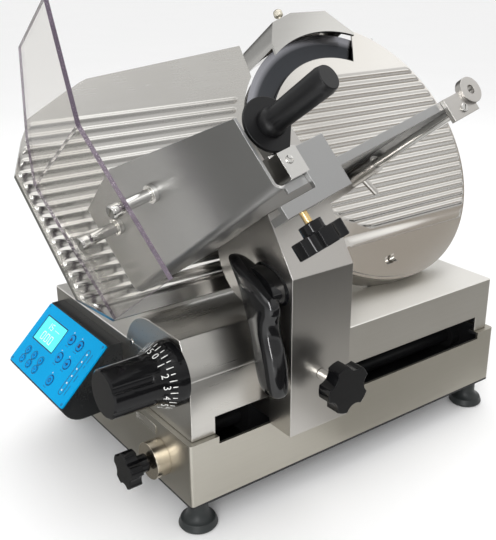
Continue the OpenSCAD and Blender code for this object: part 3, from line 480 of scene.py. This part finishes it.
def softened(node, material, width):
    """A merged copy of a solid with its sharp edges rounded to the given width, in metres."""
    mesh = frame["nodes"][node].data.copy()
    for name in ("custom_normal", "sharp_face", "sharp_edge"):
        if name in mesh.attributes:
            mesh.attributes.remove(mesh.attributes[name])
    if node in flat_above:
        ribs_lowered(mesh, *flat_above[node])
    work = bmesh.new()
    work.from_mesh(mesh)
    bmesh.ops.remove_doubles(work, verts=work.verts, dist=2e-6)
    if node not in flat_above:
        flat = radians(0.4)
        bmesh.ops.dissolve_limit(work, angle_limit=flat, verts=work.verts, edges=work.edges)
    bmesh.ops.recalc_face_normals(work, faces=work.faces)
    work.to_mesh(mesh)
    work.free()
    piece = set_down(node + "_soft", mesh, material, body_of[node], sharp_angle)
    if width:
        rounded(piece, width, sharp_angle)
    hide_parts(node)
    return piece


print("ribs are lowered on", " and ".join(flat_above))

# %% The softened solids, each with its finish and its edges' width in millimetres
soft = {}
for material, widths in [
    (base_cast, {"lower_base": 1.6}), (body_cast, {"upper_body": 1.6}),
    (ground_sheet, {"carriage_arm": 0.8, "brace_socket": 0.6, "brace_bracket": 0.5,
                    "pusher_plate": 0.3}),
    (tray_sheet, {"tray": 0.4, "rail_clamp": 0.4}), (gauge_metal, {"gauge_plate": 1.0}),
    (ribbed_plate, {"blade_cover": 0.3}), (blade_steel, {"blade": 0.0}),
    (linished_cast, {"blade_head": 0.8, "belt_cover": 0.8, "gauge_slide": 0.8, "gauge_guide": 1.2}),
    (hood_sheet, {"sharpener_hood": 0.6}), (grip_black, {"hand_guard": 0.8, "pusher_grip": 0.8}),
    (bright_rod, {"brace_rod": 0.4, "pusher_rail": 0.4, "pusher_block": 0.6, "guard_fixings": 0.5}),
    (gloss_black, {"wing_knob": 1.0, "front_knob": 1.2, "lock_knob": 1.2, "dial_knob": 0.8}),
    (gold_collar, {"lock_collar": 0.6}), (housing_dark, {"panel_housing": 2.0}),
    (keypad_film, {"keypad": 0.6}), (display_glow, {"display": 0.3}),
    (clear_sheet, {"clear_guard": 0.0}), (foot_rubber, {"feet": 0.8}),
    # the carriage rod is drawn dull black as painted shade inside the base's slot
    (dull_black, {"bottom_plate": 0.6, "carriage_rod": 0.4, "carriage_block": 1.0}),
    (motor_grey, {"blade_motor": 0.8, "drive_motor": 0.8}),
]:
    for node, width in widths.items():
        soft[node] = softened(node, material, width / 1000.0)
print(len(soft), "solids softened")

# %% [markdown]
# A sawn edge of clear sheet looks violet, because light has come a long way through the plastic to
# reach it. The guard's large faces stay clear and its narrow ones get the edge finish: the area of
# a face tells them apart. The bend across the sheet was made over a hot wire; the same tint is
# painted along it for that light, so the Bevel that rounds it hands its own faces the edge finish too.

# %% The guard's edges
edge_area, bend_width, bend_angle = 0.004, 0.0011, 6.0
guard_mesh = soft["clear_guard"].data
guard_mesh.materials.append(clear_edge)
areas = np.empty(len(guard_mesh.polygons))
guard_mesh.polygons.foreach_get("area", areas)
narrow = areas < edge_area
guard_mesh.polygons.foreach_set("material_index", narrow.astype(np.int32))
# the bend's rounded faces get the violet tint painted for light that runs far through the sheet
rounded(soft["clear_guard"], bend_width, bend_angle).material = 1
print(int(narrow.sum()), "edge faces")

# %% [markdown]
# Two of the knobs are moulded onto metal studs. Stud and knob are one solid, so we pick the stud's
# faces by their place: close to the axis that the knob turns about, and looking away from it.

# %% Metal studs
def stud_finish(node, joint, radius, material):
    """Faces within a radius of the joint's axis, and not square to it, get the stud's metal."""
    mesh = soft[node].data
    mesh.materials.append(material)
    middle, facing = np.empty((2, len(mesh.polygons) * 3))
    mesh.polygons.foreach_get("center", middle)
    mesh.polygons.foreach_get("normal", facing)
    axis = unit(joints[joint]["axis"])
    off = middle.reshape(-1, 3) - np.array(joints[joint]["pos_m"])
    away = np.linalg.norm(off - np.outer(off @ axis, axis), axis=1)
    stud = (away < radius) & (np.abs(facing.reshape(-1, 3) @ axis) < 0.5)
    mesh.polygons.foreach_set("material_index", stud.astype(np.int32))
    print(int(stud.sum()), "stud faces on", node)


stud_finish("wing_knob", "wing_knob_turn", 0.0037, brass_metal)
stud_finish("front_knob", "front_knob_turn", 0.0062, bright_rod)

# %% [markdown]
# What sits inside the machine, and the keys, keep their plain solids and only get a finish.

# %% Finishes for the solids that stay as they are
keys = sorted(node for node in frame["nodes"] if node.startswith("key_"))
pulleys = ["blade_pulley", "motor_pulley", "drive_pulley", "idler_pulley"]
for material, nodes in [
    (bright_rod, ["spindle"]), (inner_steel, ["bearings", *pulleys]), (key_film, keys),
    (belt_black, ["drive_belt", "blade_belt"]), (stone_grit, ["stone_left", "stone_right"]),
]:
    for node in nodes:
        slots = frame["nodes"][node].data.materials
        slots.clear()
        slots.append(material)
print("finishes given")

# %% [markdown]
# ## Lofted handle
# The black handle on the arm is moulded: it has a broad root at the top, a waist for the first
# finger and a full lower grip. We give ten sections down its length, draw a smooth curve through
# them, and hang an ellipse on each point. A superellipse (power 2.3 instead of 2) keeps the section
# a little squarer, as a moulding is.

# %% Curves, rings and closed skins
def through(knots, count):
    """A smooth curve through knots.

    Each span is the cubic whose slope at an end is half the chord between that end's neighbours."""
    k = np.asarray(knots, float)
    k = np.vstack([2 * k[0] - k[1], k, 2 * k[-1] - k[-2]])
    at = np.linspace(0.0, len(k) - 3 - 1e-9, count)
    i = at.astype(int)
    f = (at - i)[:, None]
    a, b, c, d = k[i], k[i + 1], k[i + 2], k[i + 3]
    return 0.5 * (2 * b + (c - a) * f + (2 * a - 5 * b + 4 * c - d) * f**2
                  + (3 * b - a - 3 * c + d) * f**3)


def piece_from(name, points, faces, material, body, smooth=35.0, closed=True):
    """A new piece on a body; if it is closed, its faces are turned outwards."""
    mesh = bpy.data.meshes.new(name)
    mesh.from_pydata(np.asarray(points).tolist(), [], faces)
    if closed:
        work = bmesh.new()
        work.from_mesh(mesh)
        bmesh.ops.recalc_face_normals(work, faces=work.faces)
        work.to_mesh(mesh)
        work.free()
    return set_down(name, mesh, material, body, smooth)


def grid_quads(m, k, closed):
    """Quads of a grid of m rows of k points; a closed row's last point joins its first."""
    i, j = np.meshgrid(np.arange(m - 1), np.arange(k if closed else k - 1), indexing="ij")
    a, b = (i * k + j).ravel(), (i * k + (j + 1) % k).ravel()
    return np.stack([a, b, b + k, a + k], -1)


def ring_faces(m, k, first):
    """Faces of m rings of k points: quads between rings, a fan to a middle point at each end."""
    quads = grid_quads(m, k, True) + first
    here, after = np.arange(k), (np.arange(k) + 1) % k
    last = (m - 1) * k
    near = np.stack([np.full(k, m * k), after, here], -1) + first
    far = np.stack([np.full(k, m * k + 1), here + last, after + last], -1) + first
    return quads.tolist() + near.tolist() + far.tolist()


def skins(name, stacks, material, body, smooth=35.0):
    """One piece from several closed stacks of rings, each an array (m, k, 3)."""
    points, faces, first = [], [], 0
    for rings in stacks:
        m, k, _ = rings.shape
        points += [rings.reshape(-1, 3), rings[0].mean(0)[None], rings[-1].mean(0)[None]]
        faces += ring_faces(m, k, first)
        first += m * k + 2
    return piece_from(name, np.vstack(points), faces, material, body, smooth)


def rounded_end(count, share):
    """A scale along a loft: a quarter circle closes each end over a share of the length."""
    s = np.linspace(0.0, 1.0, count)
    return np.sqrt(1.0 - np.clip(1.0 - np.minimum(s, 1.0 - s) / share, 0.0, 1.0) ** 2 * 0.96)


def turns(count):
    """Equal angles round a full turn."""
    return np.linspace(0.0, 2 * pi, count, endpoint=False)


def squared(wave, power):
    """A wave made squarer: its size raised to a power below 1, its sign kept."""
    return np.sign(wave) * np.abs(wave) ** power


print("loft tools ready")

# %% The carriage handle
arm_x = (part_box("carriage_arm")[0][0] - base_zero[0]) * 1000.0
handle_x = arm_x - 17.5
handle_sections = [  # millimetres: to the back, height, half depth, half width
    [29, 270, 12, 9], [16, 262, 27, 12], [0, 247, 33, 13], [-8, 233, 30, 13.5],
    [-11, 219, 24.5, 14], [-15, 205, 21.5, 14], [-22, 186, 21.5, 14.5], [-27, 165, 21.5, 14.5],
    [-31, 143, 19, 13], [-33, 130, 12, 9],
]
count, lean, power = 84, radians(12), 2 / 2.3
back, height, deep, wide = through(handle_sections, count).T[:, :, None]
close = rounded_end(count, 0.09)[:, None]
around = turns(64)
side_x, side_y = squared(np.cos(around), power), squared(np.sin(around), power)
depth = deep * close * side_y
loft = np.stack([handle_x + wide * close * side_x, back + depth * cos(lean),
                 height + depth * sin(lean)], -1)
root_x = np.array([handle_x, handle_x + 8, arm_x - 1.2, arm_x])[:, None]
grow = np.array([1.0, 1.0, 1.0, 1.12])[:, None]
root = np.stack([root_x + 0 * side_x, -4 + 27 * grow * side_y,
                 246 + 17 * grow * side_x + 5 * side_y], -1)
handle = skins("carriage_handle_form", [on_base(loft), on_base(root)], handle_black,
               "carriage")
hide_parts("carriage_handle")
print("handle of", len(handle.data.polygons), "faces")

# %% [markdown]
# ## The sharpener's button
# The button on the hood is turned on a lathe and its side is knurled so that a wet finger doesn't
# slip. A profile of radius and height goes round the pin's axis; on the side the radius ripples by
# a few hundredths with the angle, which gives the flutes. Its foot stays clear of the hood when the
# button is pressed home.

# %% A turned and knurled button
low, high = reach("sharpener_knob", blade_axes)
button_foot = np.array([(low[0] + high[0]) / 2, low[1], (low[2] + high[2]) / 2]) @ blade_axes
button_profile = np.array([  # millimetres: radius, height; then the share of the knurl's depth
    [2.9, 0.05, 0], [2.9, 14.6, 0], [4.4, 15.0, 0], [5.9, 16.3, 0.3], [6.1, 16.9, 1],
    [6.1, 22.6, 1], [5.9, 23.3, 0.3], [5.2, 24.6, 0], [3.6, 25.7, 0], [1.6, 26.3, 0],
])
flutes, knurl = 24, 0.035
spin = turns(6 * flutes)
radius, rise, share = button_profile.T[:, :, None]
radius = radius * (1.0 + knurl * share * np.cos(flutes * spin)) / 1000.0
outward = np.cos(spin)[:, None] * x_way + np.sin(spin)[:, None] * blade_n
button = button_foot + radius[..., None] * outward + rise[..., None] / 1000.0 * blade_t
button_piece = skins("sharpener_knob_form", [button], knob_silver, "sharpener_knob",
                     40.0)
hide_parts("sharpener_knob")
print("button with", flutes, "flutes")

# %% [markdown]
# ## Pressed rolls
# A wet slice clings to a flat plate, so the gauge plate and the blade's cover are pressed into
# rolls that touch it along lines only. In pressed metal the rolls rise smoothly from the sheet. A
# thin skin over the solids gives that form: one row of points for each height across the rolls,
# from the left border of the pressed field to its right border. The rise is a cosine raised to a
# power, and it sinks to nothing at both ends of a row.

# %% A skin of rolls
roll_pitch, sunk = 13.2, 0.04


def fade(s):
    """The S-curve 3s^2 - 2s^3: level at 0 and at 1."""
    return s * s * (3.0 - 2.0 * s)


def rolled_skin(name, t, left, right, ends, top, plate_n, power, material, body, step=None):
    """Rise = rib_rise x |cos(pi (t - top) / pitch)|^power, sinking at a row's ends; millimetres.

    Below the line step[0] the rolls give way to one slope, step[1] long, that climbs to step[2]."""
    s = np.linspace(0.0, 1.0, 8)[None, :]
    first, last = left[:, None] + ends[0] * s, right[:, None] - ends[1] * s[:, ::-1]
    inner = np.linspace(0.0, 1.0, 26)[None, 1:-1]
    x = np.hstack([first, first[:, -1:] + (last[:, :1] - first[:, -1:]) * inner, last])
    keep = np.concatenate([fade(s[0]), np.ones(inner.size), fade(s[0][::-1])])
    row = rib_rise * 1000.0 * np.abs(np.cos(pi * (t - top) / roll_pitch)) ** power
    if step:
        slope = step[2] * fade(np.clip((step[0] - t) / step[1], 0.0, 1.0))
        row = np.where(t < step[0], slope, row)
    out = plate_n * 1000.0 + row[:, None] * keep[None, :] - sunk
    points = on_blade(np.stack([x, t[:, None] + 0 * x, out], -1).reshape(-1, 3) / 1000.0)
    faces = grid_quads(*x.shape, False).tolist()
    piece = piece_from(name, points, faces, material, body, closed=False)
    sheet = piece.modifiers.new("sheet", "SOLIDIFY")
    sheet.thickness, sheet.offset = 0.0004, -1.0
    print(name, "of", len(faces), "faces")


print("rolls", roll_pitch, "mm apart")

# %% The cover's field and the gauge plate's field
field_r, field_x, cover_r, blade_gap_r = 115.0, -5.0, 186.5, 187.0
slant, foot_t, foot_x = 0.325, -114.2, -88.0
t = np.linspace(-130.3, 110.6, 293)
disc = np.sqrt(np.maximum(field_r**2 - t**2, 0.0))
disc_left = field_x - np.maximum(disc, np.where(t < 0, -slant * t, 0.0))
disc_left = np.where(t < foot_t, foot_x, disc_left)
rolled_skin("cover_rolls", t, disc_left, np.sqrt(cover_r**2 - t**2), (9.0, 6.0), 104.0, cover_top,
            2.0, ribbed_plate, "base", (-114.0, 15.0, 1.7))
t = np.linspace(-123.8, 100.6, 273)
plate_left = np.interp(t, [-137, -105, 42, 81, 103], [-421, -453, -475, -455, -440]) + 3.0
rolled_skin("gauge_rolls", t, plate_left, -np.sqrt(blade_gap_r**2 - t**2), (3.5, 9.0), 94.0,
            plate_top, 4.0, gauge_metal, "gauge")

# %% [markdown]
# ## Screws and small plates
# A head with a slot is a stack of rings: foot, rim, rounded top, and then the slot's own outline
# twice, once at the top and once at the slot's floor. The outline of a slot is a ring as well, if
# we ask how far one can go from the middle in each direction: half the length over the cosine, or
# half the width over the sine, whichever comes first.

# %% Slotted heads, and those on the carriage
turnway = turns(64) + 1e-3
wave_x, wave_y = np.cos(turnway), np.sin(turnway)


def head_rings(place, out, along, r, tall, sunk=0.0004):
    """Rings of a slotted head: its place, the ways it and its slot point, radius and height."""
    out, along = unit(out), unit(along)
    slot = np.minimum(0.72 * r / np.abs(wave_x), 0.13 * r / np.abs(wave_y))
    rings = []
    for size, height in [(r, -sunk), (r, 0.5 * tall), (0.93 * r, 0.82 * tall), (0.78 * r, tall),
                         (slot, tall), (slot, 0.4 * tall)]:
        flat = np.outer(size * wave_x, along) + np.outer(size * wave_y, np.cross(out, along))
        rings.append(np.asarray(place) + flat + height * out)
    return np.array(rings)


low, high = reach("brace_bracket", tray_axes)
bracket_spot = np.array([low[0] + 0.020, low[1] + 0.008, high[2] - 0.003]) @ tray_axes
low, high = reach("guard_fixings", tray_axes)
from_end = 0.0095
bolt_spots = [np.array([low[0], (low[1] + high[1]) / 2, n]) @ tray_axes
              for n in (low[2] + from_end, high[2] - from_end)]
low, high = reach("pusher_rail", tray_axes)
block_spot = np.array([low[0] + 0.0085, low[1] + 0.015, high[2]]) @ tray_axes
skins("carriage_screws", [
    head_rings(bracket_spot, blade_n, tray_u + tray_v, 0.0045, 0.0022),
    head_rings(block_spot, blade_n, tray_u - tray_v, 0.0036, 0.0012),
    *[head_rings(spot, -tray_u, blade_n + 0.4 * tray_v, 0.0068, 0.0030) for spot in bolt_spots],
], bright_rod, "carriage", 30.0)
print(2 + len(bolt_spots), "heads on the carriage")

# %% Screws on the base
low, high = reach("belt_cover", blade_axes)
hub = blade_axes[:2] @ blade_c
rim = high[1] - hub[1] - 0.0045
rear_spots = [np.array([hub[0] + rim * cos(a), hub[1] + rim * sin(a), low[2]]) @ blade_axes
              for a in np.radians([5, 48, 90, 132, 175])]
rim_at = radians(57)
rim_way = x_way * cos(rim_at) + blade_t * sin(rim_at)
rim_spot = on_blade([0, 0, -0.006]) + 0.1875 * rim_way
skins("base_screws", [
    *[head_rings(spot, -blade_n, x_way + 0.3 * k * blade_t, 0.0036, 0.0020)
      for k, spot in enumerate(rear_spots)],
    head_rings(rim_spot, rim_way, x_way, 0.0040, 0.0042, 0.002),
    head_rings(on_base([6.5, 130.5, 153.7]), -x_way, y_way + z_way, 0.0034, 0.0012),
], bright_rod, "base", 30.0)
print(2 + len(rear_spots), "heads on the base")

# %% [markdown]
# Such a machine carries a small plate on the end of its base. Ours stays bare. It is a rounded
# rectangle, the same squarer circle as the handle's section, in three rings: foot, rim and face.

# %% A bare plate on the base's end
plate_foil = metal("plate_foil", (0.60, 0.585, 0.54), 0.26, 0.05, 0.06, (300.0, 20.0, 300.0))
square_y, square_z = 23.0 * squared(wave_x, 0.22), 6.0 * squared(wave_y, 0.30)
plate = np.stack([np.stack([0 * square_y + x, 95.0 + k * square_y, 67.0 + k * square_z], -1)
                  for x, k in [(0.3, 1.0), (-0.45, 1.0), (-0.7, 0.975)]])
skins("end_plate", [on_base(plate)], plate_foil, "base", 25.0)
print("end plate set")

# %% [markdown]
# ## Numbers on the dial
# The dial's cone carries white numbers with a short tick beside each and a longer one between. A
# number starts as flat text and lies on its side, head towards the wide rim, so that it stands
# upright for someone who looks at the dial's end. Bending it is only a change of coordinates:
# distance along the axis gives the radius, and width divided by that radius gives the angle.

# %% Ink and flat artwork
def letters(text, size):
    """Flat filled text as points (n, 3), centred, and its faces."""
    curve = bpy.data.curves.new("letters", "FONT")
    curve.body, curve.size = text, size
    curve.align_x, curve.align_y = "CENTER", "CENTER"
    holder = linked("letters", curve)
    bpy.context.view_layer.update()
    drawn = holder.evaluated_get(bpy.context.evaluated_depsgraph_get())
    flat = bpy.data.meshes.new_from_object(drawn)
    points, faces = points_of(flat), [list(face.vertices) for face in flat.polygons]
    bpy.data.objects.remove(holder)
    bpy.data.curves.remove(curve)
    bpy.data.meshes.remove(flat)
    return points, faces


def bar(x0, x1, y0, y1):
    """A flat rectangle as points and one face."""
    return np.array([[x0, y0, 0], [x1, y0, 0], [x1, y1, 0], [x0, y1, 0]]), [[0, 1, 2, 3]]


def gathered(parts):
    """Several (points, faces) joined into one."""
    firsts = np.cumsum([0] + [len(points) for points, _ in parts]).tolist()
    faces = [[i + first for i in face] for (_, fs), first in zip(parts, firsts) for face in fs]
    return np.vstack([points for points, _ in parts]), faces


def printed(name, points, faces, material, body, slot):
    """A printed mark: flat faces with a hair's thickness."""
    piece = piece_from(name, points, faces, material, body)
    ink = piece.modifiers.new("ink", "SOLIDIFY")
    ink.thickness, ink.offset = 0.00012, 0.0


white_ink = coat("white_ink", [(0.62, 0.62, 0.60), (0.82, 0.82, 0.80)], (300.0,), 0.5, 0.2)
print("ink ready")

# %% Numbers and ticks wrapped on the cone
dial_at = np.array(joints["dial_turn"]["pos_m"])
first_turn, turn_step, mark_line = 72.0, 22.5, 0.0175
tick_end, tick_half = 0.0076, 0.00052


def on_cone(points, turn):
    """Flat (along, round) to the cone: radius 37 to 29 mm along it, angle = round / radius."""
    along = mark_line - points[:, 0]
    radius = np.interp(along, [0.009, 0.026], [0.037, 0.029]) + 0.00015
    angle = turn + points[:, 1] / radius
    return dial_at + np.stack([-along, -radius * np.cos(angle), radius * np.sin(angle)], -1)


marks = []
for number in range(16):
    turn = radians(first_turn - turn_step * number)
    points, faces = letters(str(number), 0.0102)
    lying = np.stack([points[:, 1] - 0.0029, -points[:, 0], points[:, 2]], -1)
    marks.append((on_cone(lying, turn), faces))
    for part, foot in [(0.0, 0.0030), (0.5, 0.0004)]:
        points, faces = bar(foot, tick_end, -tick_half, tick_half)
        marks.append((on_cone(points, turn - radians(turn_step * part)), faces))
printed("dial_numbers", *gathered(marks), white_ink, "dial_knob", "black_plastic")
print("dial marked 0 to 15")

# %% [markdown]
# ## Keypad legends and display
# The keypad is a printed film over sprung keys: a dark ring round each key, a plain sign on it, and
# fine lines that group the keys. The display shows plain figures made of straight bars. All of it
# is flat artwork in the keypad's own plane: up the slope, across it, and a hair proud.

# %% The keypad's plane: up the slope, to the back and outwards
pad_low, pad_high = reach("keypad", panel_axes)
pad_mid, pad_half = (pad_low + pad_high) / 2, (pad_high - pad_low) / 2
hair = 0.0001


def print_flat(name, parts, height, ink, body, slot):
    """Flat (across, up) parts, in metres from the keypad's middle, a hair above a height.

    Across runs to the front, as the panel is read."""
    points, faces = gathered(parts)
    across, up, out = points.T
    place = np.stack([pad_mid[0] + up, pad_mid[1] - across, height + hair + out], -1) @ panel_axes
    printed(name, place, faces, ink, body, slot)


print("keypad of", np.round(2000 * pad_half[:2]), "mm")

# %% Rings and plain signs
def circle_band(x, y, outer, inner, count=40, stretch=0.0):
    """A flat ring between two radii, drawn out by stretch up the slope into a slot."""
    a = turns(count) + 1e-4
    shift = np.sign(np.sin(a)) * stretch
    rim = [np.stack([x + r * np.cos(a), y + r * np.sin(a) + shift, 0 * a], -1)
           for r in (outer, inner)]
    return np.vstack(rim), grid_quads(2, count, True).tolist()


def block(x, y, half_w, half_h):
    """A flat rectangle about its middle."""
    return bar(x - half_w, x + half_w, y - half_h, y + half_h)


def triangle(x, y, r, corners):
    """A flat triangle: three corners, in shares of r from a middle."""
    return np.array([[x + a * r, y + b * r, 0] for a, b in corners]), [[0, 1, 2]]


def flat_sign(kind, x, y, r):
    """Plain key signs within radius r: a triangle, a square, arrows, a ring, a cross or a bar."""
    if kind == "start":
        return triangle(x, y, r, [(-0.5, -0.6), (0.7, 0.0), (-0.5, 0.6)])
    if kind == "stop":
        return block(x, y, 0.5 * r, 0.5 * r)
    if kind in ("left", "right"):
        d = 1.0 if kind == "right" else -1.0
        head = triangle(x, y, r, [(0.75 * d, 0.0), (0.1 * d, 0.5), (0.1 * d, -0.5)])
        return gathered([head, block(x, y, 0.7 * r, 0.12 * r)])
    if kind == "reset":
        return circle_band(x, y, 0.55 * r, 0.38 * r, 24)
    if kind == "up":
        return gathered([block(x, y, 0.55 * r, 0.11 * r), block(x, y, 0.11 * r, 0.55 * r)])
    return block(x, y, 0.55 * r, 0.12 * r)


print("signs ready")

# %% What is printed on and around each key
navy_ink = coat("navy_ink", [(0.006, 0.014, 0.08), (0.012, 0.026, 0.13)], (260.0,), 0.42, 0.2)
ring_w, dash_w, small_key = 0.0007, 0.0028, 0.005
lines, dots = [], []
for node in keys:
    low, high = reach(node, panel_axes)
    x, y = pad_mid[1] - (low[1] + high[1]) / 2, (low[0] + high[0]) / 2 - pad_mid[0]
    r = (high[1] - low[1]) / 2
    gap = 0.0015 if r < small_key else 0.0006
    lines.append(circle_band(x, y, r + gap + ring_w, r + gap))
    if r >= small_key:
        dots.append(circle_band(x - 0.004, y + r + 0.0030, 0.0008, 0.0001, 12))
        lines += [bar(x + a, x + a + dash_w, y - r - 0.0042, y - r - 0.0036)
                  for a in (-0.005, -0.001)]
    sign = flat_sign(node.rsplit("_", 1)[1], x, y, r * 0.8)
    print_flat(node + "_sign", [sign], high[2], navy_ink, node, "keypad_blue")
print(len(lines), "rings and dashes,", len(dots), "lamps")

# %% The row of lamps, the side lines, the corners and the display's border
slot_x, slot_top, slot_foot = 0.058, 0.028, -0.034
slot_mid, slot_half = (slot_top + slot_foot) / 2, (slot_top - slot_foot) / 2
lines.append(circle_band(slot_x, slot_mid, 0.0043, 0.0036, 48, slot_half - 0.004))
dots += [circle_band(slot_x, y, 0.0013, 0.0001, 14)
         for y in np.linspace(slot_top - 0.006, slot_foot + 0.006, 6)]
side_lines = [(0.014, 0.026), (0.007, 0.011), (-0.012, -0.003), (-0.031, -0.018)]
lines += [bar(0.0675, 0.0682, y0, y1) for y0, y1 in side_lines]
corner_y, corner_x = pad_half[:2] - 0.004
lines += [circle_band(x, y, 0.0016, 0.0009, 16)
          for x in (-corner_x, corner_x) for y in (-corner_y, corner_y)]
glass_low, glass_high = reach("display", panel_axes)
x0, x1 = pad_mid[1] - glass_high[1], pad_mid[1] - glass_low[1]
y0, y1 = glass_low[0] - pad_mid[0], glass_high[0] - pad_mid[0]
w = 0.0013
lines += [bar(x0 - w, x1 + w, y0 - w, y0), bar(x0 - w, x1 + w, y1, y1 + w),
          bar(x0 - w, x0, y0, y1), bar(x1, x1 + w, y0, y1)]
print_flat("keypad_lines", lines, pad_high[2], navy_ink, "base", "keypad_blue")
print_flat("keypad_lamps", dots, pad_high[2], white_ink, "base", "keypad_blue")
print(len(lines), "keypad lines and", len(dots), "lamps")

# %% Figures on the display
lit_bars = {0: (0, 1, 2, 3, 4, 5), 1: (1, 2), 5: (0, 5, 6, 2, 3)}


def figure(digit, x, y, w, h):
    """Straight bars of a figure: seven, numbered from the top clockwise, the middle one last."""
    t = 0.16 * w
    bars = [(0, w, h - t, h), (w - t, w, h / 2, h), (w - t, w, 0, h / 2), (0, w, 0, t),
            (0, t, 0, h / 2), (0, t, h / 2, h), (0, w, h / 2 - t / 2, h / 2 + t / 2)]
    lit = [bars[i] for i in lit_bars[digit]]
    return gathered([bar(x + a, x + b, y + c, y + d) for a, b, c, d in lit])


lcd_figure = coat("lcd_figure", [(0.72, 0.95, 0.93), (0.86, 1.0, 0.98)], (200.0,), 0.3, 0.1,
                  glow=[(0.6, 0.9, 0.88), (0.75, 1.0, 0.97)], fixed={"Emission Strength": 0.25})
margin = x0 + 0.013
parts = [figure(0, margin + 0.0105 * i, y0 + 0.0045, 0.0072, 0.0115) for i in range(3)]
parts += [figure(digit, margin + 0.0085 * i, y0 + 0.0205, 0.0056, 0.0085)
          for i, digit in enumerate((1, 5))]
parts.append(bar(x0 + 0.033, x0 + 0.046, y0 + 0.0235, y0 + 0.0241))
print_flat("display_figures", parts, glass_high[2], lcd_figure, "base", "display_glass")
print("display shows", len(parts), "parts")

# %% [markdown]
# ## Room and light
# A product picture is taken in a white room. The floor is pale and plain. Large soft lights above
# and to the left give the long highlights, and the sky is a gradient, white above and grey low
# down, because polished metal shows nothing but the room around it.

# %% Floor and sky
def stage_sheet(name, corners, material):
    """A flat sheet of the room, from its four corners."""
    mesh = bpy.data.meshes.new(name)
    mesh.from_pydata(np.asarray(corners).tolist(), [], [(0, 1, 2, 3)])
    mesh.materials.append(material)
    sheet = linked(name, mesh)
    return sheet


floor_half = 30.0
pale_floor = coat("pale_floor", [(0.955,) * 3, (0.975,) * 3], (3.0,), 0.6, 0.1)
floor_corners = floor_half * np.array([(-1, -1, 0), (1, -1, 0), (1, 1, 0), (-1, 1, 0)])
stage_sheet("floor", floor_corners, pale_floor)

sky = bpy.data.worlds.new("studio")
sky.use_nodes = True
bpy.context.scene.world = sky
start = Wire(sky.node_tree)
height = start.node("SeparateXYZ", {}, {0: start.node("TexCoord", out="Generated")}, out=2)
greys = [(0.0, 0.60), (0.485, 0.44), (0.492, 0.93), (0.535, 0.93), (0.545, 0.55), (0.8, 1.0)]
stops = [(at, (grey, grey, grey)) for at, grey in greys]
tint = start.node("ValToRGB", {"stops": stops}, {0: height * 0.5 + 0.5})
sky.node_tree.links.new(tint.socket, sky.node_tree.nodes["Background"].inputs["Color"])
print("sky of", len(greys), "greys")

# %% Lamps
middle = Vector((np.array(cad_box[0]) + np.array(cad_box[1])) / 2)
lamps = [  # name, place and size in metres, power in watts
    ("key_softbox", (-1.6, -1.0, 1.9), (1.5, 1.5), 10.0),
    ("top_softbox", (0.3, 0.2, 2.1), (1.6, 1.6), 9.0),
    ("strip_light", (-1.25, -1.15, 0.75), (0.14, 1.3), 12.0),
    ("right_softbox", (1.85, -0.42, 1.70), (0.9, 0.9), 1.7),
    ("rear_softbox", (1.25, 1.75, 0.95), (1.6, 1.0), 1.2),
]
for name, place, size, watts in lamps:
    lamp = bpy.data.lights.new(name, "AREA")
    lamp.shape, lamp.energy = "RECTANGLE", watts
    lamp.size, lamp.size_y = size
    aim = (middle - Vector(place)).to_track_quat("-Z", "Y")
    linked(name, lamp).matrix_world = Matrix.Translation(place) @ aim.to_matrix().to_4x4()
print(len(lamps), "lamps")

# %% [markdown]
# Polished metal in an all-white room looks like chalk. A photographer sets cards just outside the
# picture, so that the faces which look that way turn grey and the edges stand out. Three of ours
# lie flat on the floor, in front and to the left. Two hang in the air, each square to the line
# along which a surface mirrors the camera: a warm one for the lower part of the blade's cover, and
# a dark one behind the machine for the left end of its deck. Only reflections see them.

# %% Cards
def felt(name, dark, light):
    """Dull cloth with slight clouds between two tones."""
    return coat(name, [dark, light], (2.0,), 0.8, 0.1, fixed={"Specular IOR Level": 0.1})


card_felt = felt("card_felt", (0.05, 0.05, 0.048), (0.075, 0.073, 0.07))
grey_felt = felt("grey_felt", (0.20, 0.198, 0.19), (0.26, 0.257, 0.245))
pale_felt = felt("pale_felt", (0.38, 0.375, 0.36), (0.44, 0.435, 0.42))
warm_felt = felt("warm_felt", (0.46, 0.42, 0.38), (0.52, 0.48, 0.43))


def hung(spot, facing, away, wide, tall):
    """Corner and sides of a card that hangs where a spot, facing some way, mirrors the camera."""
    look = unit(spot - eye)
    mirrored = look - 2 * (look @ facing) * facing
    side_a = wide * unit(np.cross(mirrored, z_way))
    side_b = tall * unit(np.cross(side_a, mirrored))
    return spot + away * mirrored - (side_a + side_b) / 2, side_a, side_b


for name, cloth, corner, side_a, side_b in [
    ("front_card", card_felt, (-0.6, -3.0, 0.002), 3.6 * x_way, 2.5 * y_way),
    ("near_card", pale_felt, (0.02, -0.50, 0.002), 2.98 * x_way, 0.38 * y_way),
    ("left_card", grey_felt, (-3.0, -0.1, 0.002), 2.73 * x_way, 2.6 * y_way),
    ("hung_card", warm_felt, *hung(on_blade([0.02, -0.12, 0.0]), blade_n, 0.8, 0.5, 0.22)),
    ("rear_card", card_felt, *hung(on_base([60, 140, 160]), z_way, 1.3, 1.1, 1.0)),
]:
    corners = np.array(corner) + np.array([0 * side_a, side_a, side_a + side_b, side_b])
    card = stage_sheet(name, corners, cloth)
    card.visible_camera = card.visible_diffuse = False
    card.visible_shadow = card.visible_transmission = False
bpy.context.scene.view_settings.view_transform = "Standard"
print("cards set")
